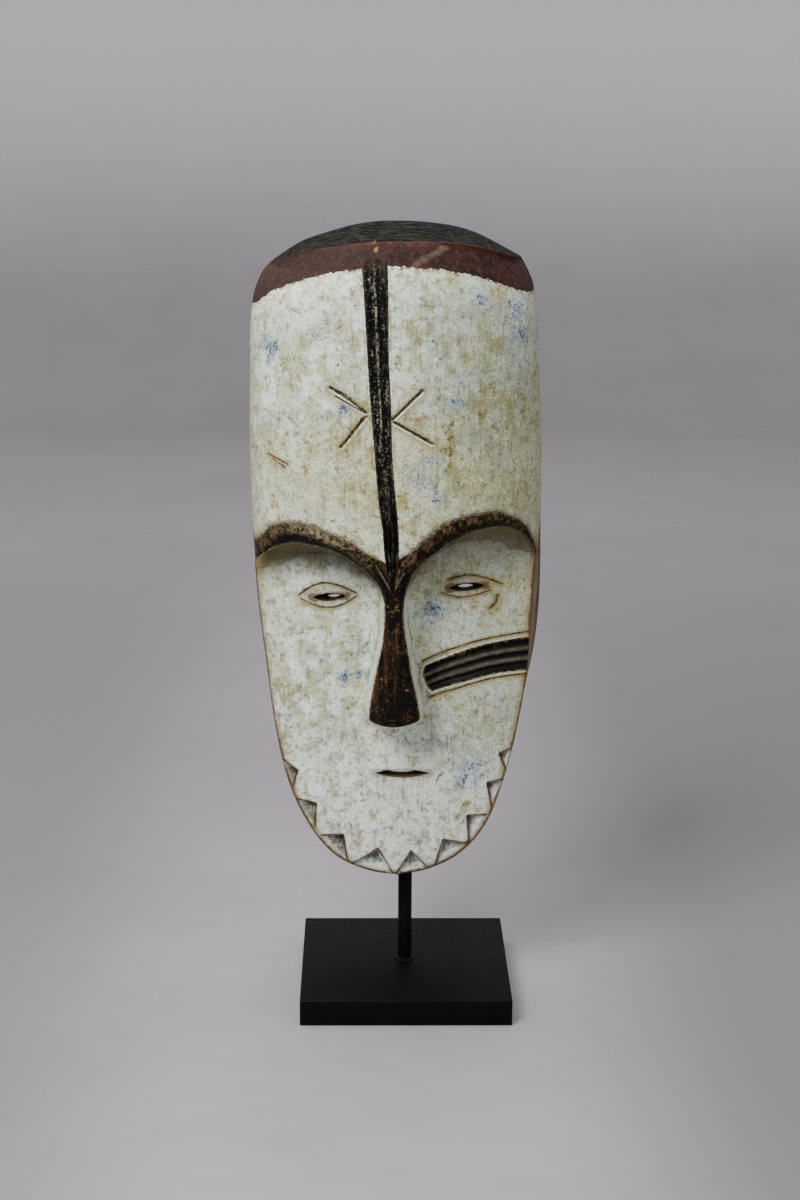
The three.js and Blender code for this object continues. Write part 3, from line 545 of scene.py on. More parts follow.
def on_chains(chains, u, v):
    """Maps the square -1..1 onto a round disc and that onto the outline; gives x and z."""
    disc_x = u * np.sqrt(1 - v * v / 2)
    disc_z = v * np.sqrt(1 - u * u / 2)
    level = np.arcsin(np.clip(disc_z, -1, 1))
    along = (level / math.pi + 0.5) * (len(chains[0]) - 1)
    chord = np.maximum(np.cos(level), 1e-6)
    side = np.clip(disc_x / chord, -1, 1)
    side = mix(side, np.sin(side * math.pi / 2), 0.75)
    t = (side + 1) / 2
    steps = np.arange(len(chains[0]))
    ends = [[np.interp(along, steps, c[:, k]) for k in (0, 1)] for c in chains]
    return mix(ends[0][0], ends[1][0], t), mix(ends[0][1], ends[1][1], t)


def wanted_size(x, z):
    """Longest edge the front's mesh may have at a place."""
    signed, up, low = t_distances(x, z)
    band = band_place(x, z)[0]
    across, _, inward = stripe_place(x, z)
    near = knife_marks(x, z)[1]
    size = np.where(np.abs(signed) < 9, NEAR_T_MESH, PLAIN_MESH)
    size = np.where(signed > -0.5, T_MESH, size)
    size = np.where(np.minimum(up, low) < 1.6, T_EDGE_MESH, size)
    size = np.where((band > -0.12) & (band < 1.12) & (z > 308) & (z < 540), BAND_MESH, size)
    size = np.where((across > -0.2) & (across < 1.2) & (inward > -3), STRIPE_MESH, size)
    size = np.where(near < 5, np.minimum(size, NEAR_CUT_MESH), size)
    return np.where(near < 1.8, np.minimum(size, CUT_MESH), size)


def vert_array(bm):
    """Places of a mesh's vertices, in their order."""
    return np.array([v.co for v in bm.verts])


def of_kind(kind, geom):
    """The vertices, edges or faces among what an operator gave."""
    return [g for g in geom if isinstance(g, kind)]


def refine(bm, place, wanted, rounds):
    """Splits edges that are longer than wanted once the mesh is in place; the mesh itself stays flat."""
    for _ in range(rounds):
        flat = vert_array(bm)
        placed = place(flat[:, 0], flat[:, 1])
        bm.verts.index_update()
        ends = np.array([(e.verts[0].index, e.verts[1].index) for e in bm.edges])
        a, b = placed[ends[:, 0]], placed[ends[:, 1]]
        middle = (a + b) / 2
        long = np.linalg.norm(a - b, axis=1) > wanted(middle[:, 0], middle[:, 2])
        chosen = [e for e, pick in zip(bm.edges, long) if pick]
        if not chosen:
            return
        bmesh.ops.subdivide_edges(bm, edges=chosen, cuts=1, use_grid_fill=True)
        bmesh.ops.triangulate(bm, faces=[f for f in bm.faces if len(f.verts) > 4])


def place_front(u, v):
    """Where a point of the flat square lies on the carved front."""
    x, z = on_chains(FRONT_CHAINS, u * RIM_EASE, v * RIM_EASE)
    tooled = 0.35 * wobble(x, 0 * x, z, 16, 3.1) + 0.16 * wobble(x, 0 * x, z * 0.5, 5, 7.7)
    return np.stack([x, carved_y(x, z) + tooled, z], 1)


def hollow_chains():
    """The back outline drawn in by the thickness of the walls."""
    centre, half = (float(a) for a in span_at(np.array(HOLLOW_MIDDLE_Z)))
    above = 1 - CROWN_WALL / (TOP_Z - HOLLOW_MIDDLE_Z)
    below = (HOLLOW_MIDDLE_Z - HOLLOW_FLOOR_Z) / (HOLLOW_MIDDLE_Z - CHIN_Z)
    inner = []
    for c in BACK_CHAINS:
        x = mix(centre, c[:, 0], 1 - SIDE_WALL / half)
        z = mix(HOLLOW_MIDDLE_Z, c[:, 1], np.where(c[:, 1] > HOLLOW_MIDDLE_Z, above, below))
        inner.append(np.stack([x, z], 1))
    return inner


INNER_CHAINS = hollow_chains()


def inner_y(x, z):
    """Front wall of the hollow, seen from behind."""
    centre, half = span_at(z)
    ratio = np.clip(np.abs(x - centre) / (half - SIDE_WALL + 3), 0, 1)
    body = (1 - ratio**SECTION_POWER) ** (1 / SECTION_POWER)
    forehead = mix(WIDEST_Y, read(BLOCK_Y, z) + FOREHEAD_WALL, body)
    roll = smoothstep(RED_EDGE - 60, RED_EDGE, arch_height(x, z))
    upper = mix(forehead, forehead * 0.35, roll)
    return mix(face_y(x, z) + FACE_WALL, upper, smoothstep(*BROW_SHELF, z))


def place_inner(u, v):
    """Where a point of the flat square lies in the gouged hollow."""
    x, z = on_chains(INNER_CHAINS, u, v)
    gouged = 0.9 * np.abs(wobble(x, 0 * x, z * 0.55, 9, 5.3)) + 0.5 * wobble(x, 0 * x, z, 22, 1.9)
    return np.stack([x, np.minimum(inner_y(x, z) + gouged, BACK_Y - 4), z], 1)


def draw_back(bm, ring, paths):
    """Extrudes a ring of border edges along the paths of its vertices."""
    for step in range(len(next(iter(paths.values())))):
        made = bmesh.ops.extrude_edge_only(bm, edges=ring)["geom"]
        onward = {}
        for v in of_kind(BMVert, made):
            before = next(e.other_vert(v) for e in v.link_edges if e.other_vert(v) in paths)
            v.co = paths[before][step]
            onward[v] = paths[before]
        ring = [e for e in of_kind(BMEdge, made) if e.verts[0] in onward and e.verts[1] in onward]
        paths = onward


def to_back(start, end, rows, inward):
    """Places from a front rim straight back to the back rim, which is eased by a small chamfer."""
    middle = Vector((0, end.y, HOLLOW_MIDDLE_Z))
    eased = end + (middle - end).normalized() * inward
    shoulder = end - Vector((0, BACK_EASE, 0))
    return [start.lerp(shoulder, k / rows) * MM for k in range(1, rows + 1)] + [eased * MM]


def sheet(columns, rows, rounds, place, wanted):
    """A flat grid, refined where the form needs it, then moved into place; gives its border's flat places too."""
    bm = bmesh.new()
    bmesh.ops.create_grid(bm, x_segments=columns, y_segments=rows, size=1.0)
    refine(bm, place, wanted, rounds)
    flat = vert_array(bm)
    for v, spot in zip(bm.verts, place(flat[:, 0], flat[:, 1])):
        v.co = Vector(spot) * MM
    border = [e for e in bm.edges if e.is_boundary]
    bm.verts.index_update()
    rim = list({v for e in border for v in e.verts})
    return bm, border, rim, np.array([flat[v.index][:2] for v in rim])


def body_of_mask():
    """The block with its carved front, flat sides and hollow back, closed all round."""
    bm, border, rim, flat = sheet(*FRONT_GRID, place_front, wanted_size)
    edge_x, edge_z = on_chains(FRONT_CHAINS, flat[:, 0], flat[:, 1])
    edge_y = carved_y(edge_x, edge_z) + RIM_DROP
    back_x, back_z = on_chains(BACK_CHAINS, flat[:, 0], flat[:, 1])
    paths = {}
    for v, x, y, z, bx, bz in zip(rim, edge_x, edge_y, edge_z, back_x, back_z):
        corner = Vector((x, min(y, BACK_Y - LIP), z))
        paths[v] = [corner * MM, *to_back(corner, Vector((bx, BACK_Y, bz)), FRONT_WALL_ROWS, BACK_EASE)]
    draw_back(bm, border, paths)

    inner, border, rim, flat = sheet(*HOLLOW_GRID, place_inner, lambda x, z: HOLLOW_MESH)
    paths = {}
    for v in rim:
        behind = Vector((v.co.x / MM, BACK_Y, v.co.z / MM))
        paths[v] = to_back(v.co / MM, behind, HOLLOW_WALL_ROWS, -BACK_EASE)
    draw_back(inner, border, paths)
    held = bpy.data.meshes.new("hollow")
    inner.to_mesh(held)
    inner.free()
    bm.from_mesh(held)
    bpy.data.meshes.remove(held)
    rings = [e for e in bm.edges if e.is_boundary]
    bmesh.ops.triangle_fill(bm, use_beauty=True, edges=rings, normal=(0, 1, 0))
    bmesh.ops.recalc_face_normals(bm, faces=bm.faces)
    return bm


def lens_cutter(start, end, height, inside_share):
    """A long prism with the outline of a lens that narrows within the wall, to pierce the face."""
    along, tall, shift, drop = inside_share
    length, turn = math.dist(start, end), math.atan2(end[1] - start[1], end[0] - start[0])
    surface = float(np.max(face_y(np.array([start[0], end[0]]), np.array([start[1], end[1]]))))
    bm = bmesh.new()
    bmesh.ops.create_circle(bm, cap_ends=True, segments=48, radius=1.0)
    for v in bm.verts:
        across = v.co.x
        v.co = Vector((across * length / 2, SLIT_FROM_Y, math.copysign((1 - across**2) * height / 2, v.co.y))) * MM
    end_face, inner_faces = bm.faces[:], []
    for y, narrow in ((surface + 0.2, False), (surface + SLIT_NARROWS, True), (SLIT_TO_Y, False)):
        pushed = bmesh.ops.extrude_face_region(bm, geom=end_face)["geom"]
        end_face = of_kind(BMFace, pushed)
        inner_faces += end_face
        for v in of_kind(BMVert, pushed):
            v.co.y = y * MM
            if narrow:
                v.co.x = v.co.x * along + shift * MM
                v.co.z = v.co.z * tall + drop * MM
    bmesh.ops.delete(bm, geom=inner_faces[:-1], context="FACES_ONLY")
    middle = Vector(((start[0] + end[0]) / 2, 0, (start[1] + end[1]) / 2)) * MM
    bmesh.ops.transform(bm, matrix=Matrix.Translation(middle) @ Matrix.Rotation(-turn, 4, "Y"), verts=bm.verts)
    return bm


def notch_cutter(corners):
    """A chip of the jaw's saw edge: deepest at its inner corner and run out at the rim."""
    apex = np.array(corners[1])
    bm = bmesh.new()
    floor = []
    for corner in corners:
        x, z = apex + (np.array(corner) - apex) * NOTCH_OVERRUN
        face = float(carved_y(np.array([corner[0]]), np.array([corner[1]]))[0])
        deep = NOTCH_DEEP if corner == corners[1] else NOTCH_SHALLOW
        floor.append(bm.verts.new(Vector((x, face + deep, z)) * MM))
    bm.faces.new(floor)
    pushed = bmesh.ops.extrude_face_region(bm, geom=bm.faces[:])["geom"]
    for v in of_kind(BMVert, pushed):
        v.co.y = SLIT_FROM_Y * MM
    floor_edges = [e for e in bm.edges if all(v in floor for v in e.verts)]
    bmesh.ops.subdivide_edges(bm, edges=floor_edges, cuts=9, use_grid_fill=True)
    for v in bm.verts:
        if v.co.y > SLIT_FROM_Y / 2 * MM:
            v.co.y += 0.45 * MM * noise.noise(v.co / (3.2 * MM))
    bmesh.ops.triangulate(bm, faces=bm.faces)
    return bm


def socket_cutter():
    """The blind hole in the chin that the rod stands in."""
    bm = bmesh.new()
    low = CHIN_Z - 10
    place = Matrix.Translation(Vector((0, 0, (SOCKET_TOP_Z + low) / 2)) * MM)
    bmesh.ops.create_cone(bm, cap_ends=True, segments=40, radius1=SOCKET_RADIUS * MM, radius2=SOCKET_RADIUS * MM,
                          depth=(SOCKET_TOP_Z - low) * MM, matrix=place)
    return bm


def cut(name, bm, cutters):
    """Cuts every cutter out of the body and gives the mesh that is left."""
    body = link(name, bm)
    tools = []
    for cutter in cutters:
        bmesh.ops.recalc_face_normals(cutter, faces=cutter.faces)
        tools.append(link("cutter", cutter))
        modifier = body.modifiers.new("cut", "BOOLEAN")
        modifier.operation, modifier.solver, modifier.object = "DIFFERENCE", "MANIFOLD", tools[-1]
    left = bmesh.new()
    left.from_object(body, bpy.context.evaluated_depsgraph_get())
    for obj in [*tools, body]:
        mesh = obj.data
        bpy.data.objects.remove(obj)
        bpy.data.meshes.remove(mesh)
    return left


def link(name, bm):
    """Puts a bmesh into the scene as an object that sits at the origin."""
    mesh = bpy.data.meshes.new(name)
    bm.to_mesh(mesh)
    bm.free()
    obj = bpy.data.objects.new(name, mesh)
    bpy.context.scene.collection.objects.link(obj)
    return obj


def carve_mask():
    """The whole mask, pierced and notched, with smooth faces and sharp edges."""
    slits = [lens_cutter(*slit) for slit in [*EYE_SLITS, MOUTH_SLIT]]
    bm = cut("mask_block", body_of_mask(), [*slits, *(notch_cutter(c) for c in JAW_NOTCHES), socket_cutter()])
    for v in bm.verts:
        v.co.x = min(max(v.co.x, mask_low.x + INWARD * MM), mask_high.x - INWARD * MM)
        v.co.z = min(v.co.z, mask_high.z - INWARD * MM)
    bmesh.ops.dissolve_degenerate(bm, dist=MERGE, edges=bm.edges)
    return shaded(bm, MASK_CREASE)


# What lies where on the mask, stored on its vertices for the paint
def stain_map(x, z, stains):
    """How strong the stains are at each (x, z)."""
    total = np.zeros(np.shape(x))
    for cx, cz, reach, strength in stains:
        total = np.maximum(total, strength * np.exp(-((x - cx) ** 2 + (z - cz) ** 2) / reach**2))
    return total


def nearest_of(x, z, lines):
    """Distance to the nearest of several lines."""
    return np.min([line_distance(x, z, line) for line in lines], axis=0)


def behind_rim(x, y, z):
    """How far back on the side wall a point lies, measured from the front rim nearest to it; 0 on the front."""
    points = np.vstack([c[::6] for c in FRONT_CHAINS])
    best, rim_y = np.full(np.shape(x), 1e9), np.zeros(np.shape(x))
    for (px, pz), py in zip(points, carved_y(points[:, 0], points[:, 1])):
        away = np.hypot(x - px, z - pz)
        rim_y = np.where(away < best, py, rim_y)
        best = np.minimum(best, away)
    outline = [tuple(point) for point in np.vstack([FRONT_CHAINS[0][::6], FRONT_CHAINS[1][::-6]])]
    on_front = inside(x, z, outline) & (best > 4)
    return np.where(on_front, 0, np.clip(y - rim_y - RIM_DROP, 0, 60))


def paint_guides(mesh):
    """Distances and stains that the paint reads, as numbers for each vertex."""
    spots = np.empty(len(mesh.vertices) * 3)
    mesh.vertices.foreach_get("co", spots)
    x, y, z = (spots.reshape(-1, 3) / MM).T
    signed, up, low = t_distances(x, z)
    between = (signed < 0) & (up < low) & (z < 345) & (np.abs(x - NOSE_X) < 25)
    signed = np.where(between, signed + np.clip((339 - z) * 0.9, 0, 8), signed)
    depth = y - carved_y(x, z)
    rim = nearest_of(x, z, [c[::12] for c in FRONT_CHAINS])
    band, width = band_place(x, z)
    band_in = np.minimum(np.minimum(band, 1 - band) * width, np.minimum(534 - z, (z - 309) * 0.6))
    across, height, inward = stripe_place(x, z)
    stripe_in = np.minimum(np.minimum(across, 1 - across) * height, inward)
    under_brow = np.where((signed < 0) & (low < up), low, 40)
    reach = np.where(z > 300, ledge_reach(x), 7.5)
    notch_walls = [line for a, apex, b in JAW_NOTCHES for line in ([a, apex], [apex, b])]
    in_notch = np.any([inside(x, z, notch) for notch in JAW_NOTCHES], axis=0)
    slit_lines = [slit[:2] for slit in [*EYE_SLITS, MOUTH_SLIT]]
    inner_loop = [tuple(point) for point in np.vstack([INNER_CHAINS[0][::12], INNER_CHAINS[1][::-12]])]
    in_hollow = inside(x, z, inner_loop) & (y > inner_y(x, z) - 3)
    near_loop = (nearest_of(x, z, [inner_loop]) < 1.5) & (y > inner_y(x, z) - 3)
    hollow = in_hollow | near_loop | (y > BACK_Y - 0.3)
    side = behind_rim(x, y, z)
    stripe_in = np.where(side > 1.5, -12, stripe_in)
    knife = np.where(side > 1.5, 12, knife_marks(x, z)[1])
    notch_wall = np.where(side > 1.5, 8, nearest_of(x, z, notch_walls))
    signed = np.where(side > 9, -12, signed)
    turn = (knife_marks(x, z + 0.3)[1] - knife_marks(x, z - 0.3)[1]) / 0.6
    # each guide: its values, and the least and greatest that are kept
    guides = {
        "t_inside": (signed, -12, 12), "t_upper": (up, 0, 20), "ledge": (under_brow / reach, 0, 4),
        "band_across": (band, -1, 2), "band_inside": (band_in, -12, 12),
        "stripe_across": (across, -1, 2), "stripe_inside": (stripe_in, -12, 12),
        "knife": (knife, 0, 12), "knife_side": (turn, -1, 1), "slit": (nearest_of(x, z, slit_lines), 0, 20),
        "rim": (rim, 0, 30), "depth": (depth, 0, 60), "side": (side, 0, 60), "hollow": (hollow, 0, 1),
        "notch_wall": (notch_wall, 0, 8), "notch": (in_notch, 0, 1),
        "smear": (nearest_of(x, z, MAUVE_SMEAR), 0, 12), "v_line": (nearest_of(x, z, V_LINE), 0, 6),
        **{name: (stain_map(x, z, stains), 0, 2) for name, stains in STAINS.items()},
    }
    for name, (values, least, greatest) in guides.items():
        kept = np.clip(values.astype(float), least, greatest)
        mesh.attributes.new(name, "FLOAT", "POINT").data.foreach_set("value", kept)


# Node tools
def srgb(*values):
    """Linear colour for screen values from 0 to 255."""
    return tuple((v / 255 / 12.92) if v <= 10 else ((v / 255 + 0.055) / 1.055) ** 2.4 for v in values)


def tone(color, share):
    """A lighter or darker tone of a colour."""
    return tuple(min(1.0, c * share) for c in color)


def operator(operation, swapped=False):
    """A method that joins a wire and another value in one Math node."""
    def join(wire, other):
        return wire.math(operation, *((other, wire) if swapped else (wire, other)))
    return join


class Wire:
    """One output socket of a material's node, with the maths that can be done to it."""

    def __init__(self, paint, socket):
        self.paint, self.socket = paint, socket

    def math(self, operation, *values):
        return self.paint.node("ShaderNodeMath", {"operation": operation}, values)

    def __abs__(self):
        return self.math("ABSOLUTE", self)

    __add__, __radd__ = operator("ADD"), operator("ADD", True)
    __sub__, __rsub__ = operator("SUBTRACT"), operator("SUBTRACT", True)
    __mul__, __rmul__ = operator("MULTIPLY"), operator("MULTIPLY", True)
    __truediv__, __rtruediv__ = operator("DIVIDE"), operator("DIVIDE", True)
    __pow__, __rpow__ = operator("POWER"), operator("POWER", True)
    at_least = operator("MAXIMUM")


class Paint:
    """Builds the nodes of one material; lengths are millimetres in the part's frame.

    The noises are held by name too, and the names can be given to step, near and spots with an amount, which
    lets that noise shift the value.
    """

    def __init__(self, name, kit=None, grains=None, **constants):
        self.material = bpy.data.materials.new(name)
        self.material.use_nodes = True
        self.tree = self.material.node_tree
        self.shader = self.tree.nodes["Principled BSDF"]
        for socket, value in constants.items():
            self.shader.inputs[socket.replace("_", " ")].default_value = value
        self.place = self.node("ShaderNodeTexCoord", output="Object")
        self.kit, self.guides = kit or {}, {}
        self.grains = {label: self.grain(*row) for label, row in (grains or {}).items()}

    def node(self, kind, settings=None, inputs=(), output=0):
        """Adds a node of a kind: its settings first, then its sockets' values or links."""
        made = self.tree.nodes.new(kind)
        for name, value in (settings or {}).items():
            setattr(made, name, value)
        for key, value in inputs.items() if isinstance(inputs, dict) else enumerate(inputs):
            if isinstance(value, Wire):
                self.tree.links.new(value.socket, made.inputs[key])
            else:
                made.inputs[key].default_value = value
        return Wire(self, made.outputs[output])

    def guide(self, name):
        """A number that was stored on the vertices."""
        if name not in self.guides:
            self.guides[name] = self.node("ShaderNodeAttribute", {"attribute_name": name}, output="Fac")
        return self.guides[name]

    @functools.cached_property
    def axes(self):
        """X, Y and Z of the surface in millimetres."""
        scaled = self.node("ShaderNodeVectorMath", {"operation": "SCALE"}, {0: self.place, "Scale": 1 / MM})
        return [self.node("ShaderNodeSeparateXYZ", inputs=[scaled], output=k) for k in range(3)]

    def grain(self, size, detail=3.0, rough=0.55, stretch=(1, 1, 1), seed=0.0):
        """Noise of about 0.5 with lumps of a size, drawn out along the axes by `stretch`."""
        mapping = {"Vector": self.place, "Location": (seed, -seed, seed * 0.7),
                   "Scale": [1 / (MM * size * s) for s in stretch]}
        where = self.node("ShaderNodeMapping", inputs=mapping)
        noise_out = self.node("ShaderNodeTexNoise",
                              inputs={"Vector": where, "Scale": 1.0, "Detail": detail, "Roughness": rough})
        return (noise_out - 0.5) * NOISE_GAIN + 0.5

    def stir(self, value, **amounts):
        """The value, shifted by each named noise times its amount."""
        for name, amount in amounts.items():
            value = value + (self.grains[name] - 0.5) * amount
        return value

    def step(self, value, low, high, **amounts):
        """0 below `low`, 1 above `high` and smooth between; the other way round if `low` is the larger."""
        value = self.stir(value, **amounts)
        if low > high:
            return 1 - self.step(value, high, low)
        return self.node("ShaderNodeMapRange", {"interpolation_type": "SMOOTHSTEP"},
                         {"Value": value, "From Min": low, "From Max": high})

    def near(self, value, middle, reach, **amounts):
        """1 at `middle`, falling to 0 at `reach` away."""
        return self.step(abs(self.stir(value, **amounts) - middle), reach, 0.0)

    def spots(self, low, high, **amounts):
        """Spots where the named noises together pass from `low` to `high`."""
        return self.step(0.5, low, high, **amounts)

    def blend(self, factor, under, over):
        """One colour over another by a factor; each is a colour or a wire."""
        under, over = ((*c, 1.0) if isinstance(c, tuple) else c for c in (under, over))
        return self.node("ShaderNodeMix", {"data_type": "RGBA"}, {0: factor, 6: under, 7: over}, output=2)

    def coats(self, under, coats):
        """Lays coats over a colour in turn, each given as how much covers and as a wire, a colour or its name."""
        for factor, over in coats:
            under = self.blend(factor, under, self.kit.get(over, over))
        return under

    def finish(self, color=None, roughness=None, height=None):
        """Joins colour, roughness and relief, in millimetres, to the shader."""
        if color:
            self.tree.links.new(color.socket, self.shader.inputs["Base Color"])
        if roughness:
            self.tree.links.new(roughness.socket, self.shader.inputs["Roughness"])
        if height:
            relief = {"Height": height, "Distance": MM, "Strength": 1.0}
            bump = self.node("ShaderNodeBump", inputs=relief, output="Normal")
            self.tree.links.new(bump.socket, self.shader.inputs["Normal"])
        return self.material


# Finishes of the mask; heights and places in them are millimetres
def white_clay(p, aged):
    """Clay that is lighter towards the chin and greyer to the right, with stains, grey and dark smudges, dark specks
    and flecks of blue. Some grey smudges are painted shade beside and under the nose and under the brows, and a
    painted shade runs along the left edge.
    """
    x, _, z = p.axes
    low_right = p.near(x, 46, 62, mid=24) * p.near(z, 402, 96, patches=50)
    beside_band = p.near(x, -16, 46, mid=30) * p.near(z, 400, 90, patches=50)
    stained, smudge_and_shade, blue = p.guide("ochre"), p.guide("grey"), p.guide("blue")
    return p.coats(p.kit["clay_shade"], [
        (p.spots(0.34, 0.66, patches=1), "clay"),
        (p.spots(0.42, 0.62, large=1) * 0.35, "clay_light_and_highlight"),
        (aged * 0.6, "aged"),
        (p.step(z, 230, 110) * 0.9, "clay_light_and_highlight"),
        (low_right * (0.48 + p.spots(0.3, 0.75, crumbs=1) * 0.5), "aged"),
        (p.near(z, 392, 70, patches=60) * 0.5, "cream"),
        (beside_band * 0.5, "cream"),
        (p.guide("white") * p.spots(0.38, 0.6, mid=1) * 0.9, "clay_light_and_highlight"),
        (p.spots(0.48, 0.9, streaks=1, mid=0.5) * 0.5, "ochre"),
        (p.spots(0.5, 0.82, crumbs=1, mid=0.6) * 0.66, "ochre"),
        (p.spots(0.54, 0.88, specks=1, crumbs=0.6) * 0.58, "grey"),
        (p.spots(0.58, 0.92, fine=1, crumbs=0.5) * 0.56, "tan"),
        (p.spots(0.46, 0.14, fine=1, mid=0.5) * (0.7 - aged * 0.3), "clay_light_and_highlight"),
        (p.step(stained * 0.85, 0.16, 0.85, mid=0.9, streaks=0.5) * 0.7, "ochre"),
        (p.step(stained, 0.75, 1.3, specks=1.9, long_streaks=1.2) * 0.66, "brown"),
        # grey smudges, some of them painted shade beside and under the nose and under the brows
        (smudge_and_shade * p.spots(0.25, 0.7, mid=1, streaks=0.6) * 0.8, "grey"),
        (p.step(smudge_and_shade * 0.4, 0.48, 0.95, fine=1.1, crumbs=1.2) * 0.42, "soot_and_shade"),
        (blue * p.spots(0.3, 0.62, crumbs=1, mid=0.4) * 0.75, "pale_blue"),
        (p.step(blue, 0.48, 0.98, specks=1.3, fine=0.8) * 0.84, "blue"),
        (p.step(p.guide("specks"), 0.35, 0.6) * 0.8, "soot_and_shade"),
        # painted shade along the left edge of the forehead
        (p.step(x, -94, -110) * 0.3, "grey"),
    ])


def dirt_in_cuts(p, paint):
    """Dirt in and round the slits and the knife cuts, with painted shade inside the slits and on the upper wall of the
    cuts, and a painted highlight on the lower wall of the wide ones.
    """
    z = p.axes[2]
    knife, slit, depth = p.guide("knife"), p.guide("slit"), p.guide("depth")
    halo = 0.55 - p.step(z, 210, 190) * 0.35
    # in_slit: the walls inside the slits, darkened as painted shade, with a brown lower wall in the mouth
    in_slit = p.step(slit, 6.0, 4.5) * p.step(depth, 0.3, 0.9, specks=0.5)
    lower_wall = p.stir(p.guide("knife_side"), fine=0.8)
    # dirt along the cut, set towards its upper wall as painted shade
    cut_dirt_and_shade = p.step(knife - lower_wall * 0.7, 1.05, 0.3, specks=2, mid=1.2)
    dark_cut = p.step(0.5 + p.step(z, 400, 410) * 0.1, 0.4, 0.66, crumbs=1, fine=0.4)
    # painted highlight on the lower wall of the wide cuts, which faces up to the lamps
    lower_wall_highlight = p.near(knife, 0.75, 0.6) * p.step(lower_wall, 0.0, -0.5) * p.step(z, 405, 412)
    return p.coats(paint, [
        (p.step(knife, 5.5, 0.6, mid=5) * 0.45, "ochre"),
        (p.step(slit, 6.0, 2.0, specks=5) * halo, "patina"),
        (p.step(slit, 3.6, 2.2, specks=3) * (halo + 0.2), "brown"),
        (in_slit * 0.95, "soot_and_shade"),
        (in_slit * p.step(z, 180, 176) * p.step(depth, 5, 1) * 0.4, "patina"),
        (p.step(knife, 2.8, 0.9, crumbs=3.4) * 0.55, "patina"),
        (cut_dirt_and_shade * 0.6, "brown"),
        (cut_dirt_and_shade * dark_cut * 0.8, "soot_and_shade"),
        (lower_wall_highlight * (0.35 + p.spots(0.35, 0.6, crumbs=1) * 0.45), "clay_light_and_highlight"),
    ])


def ledges_and_rim(p, paint, aged):
    """Painted shade on the face under the brows, a tan ledge that is partly stain and partly painted shade under their
    overhang, a dark line at its foot, a pale line beside the nose and wear along the rim.
    """
    x, _, z = p.axes
    ledge, under_brow = p.guide("ledge"), p.step(z, 304, 314)
    # painted shade on the face below the brows
    shade = p.step(ledge, 3.2, 0.8, mid=0.7) * p.step(z, 298, 318)
    # tan on the ledge: ochre stain, deepened as painted shade under the brows' overhang
    tan = p.step(ledge, 1.12, 0.8, streaks=0.3) * under_brow
    beside_nose = p.near(p.guide("t_inside"), -1.4, 1.0, fine=0.6) * p.step(z, 306, 296)
    rim = p.guide("rim") - p.step(z, 215, 165) * 0.9
    low_face = p.step(z, 352, 334)
    return p.coats(paint, [
        (shade * (0.8 - aged * 0.34), "grey"),
        (tan * (0.72 + p.spots(0.3, 0.8, streaks=1) * 0.25 - aged * 0.15), "tan"),
        (tan * p.step(x, -84, -100) * 0.3, "brown"),
        # a dark line in the crease at the foot of the ledge
        (p.near(ledge, 1.04, 0.2, mid=0.2) * under_brow * 0.45, "soot_and_shade"),
        (beside_nose * 0.55, "clay_light_and_highlight"),
        (p.step(rim, 6.0, 0.8, mid=8) * (0.12 + low_face * 0.62), "patina"),
        (p.step(rim, 1.7, 0.6, specks=2.8) * (0.1 + low_face * 0.75), "brown"),
    ])


def jaw_notches(p, paint):
    """Pale floors in the notches of the jaw, dirty to the left, and darker deep down and along the edges with dirt and
    painted shade.
    """
    x = p.axes[0]
    wall, notch, depth = p.guide("notch_wall"), p.guide("notch"), p.guide("depth")
    dirty = p.step(x, -20, -52, patches=30)
    return p.coats(paint, [
        (notch * p.step(depth, 0.3, 0.8) * 0.6, "clay_light_and_highlight"),
        (notch * p.step(0.5 + dirty * 0.3, 0.46, 0.74, mid=1) * 0.7, "grey"),
        (notch * dirty * p.spots(0.4, 0.7, crumbs=1) * 0.6, "tan"),
        # darker deep in the notches and along their walls: dirt and painted shade
        (notch * p.step(depth, 1.5, 4.0, specks=2.2) * 0.85, "soot_and_shade"),
        (p.step(wall, 2.0, 0.5, specks=3) * 0.6, "patina"),
        (p.step(wall, 0.9, 0.3, crumbs=1.6) * 0.8, "brown"),
        (p.step(wall, 0.6, 0.3, fine=0.5) * p.spots(0.36, 0.56, mid=1) * 0.75, "soot_and_shade"),
    ])


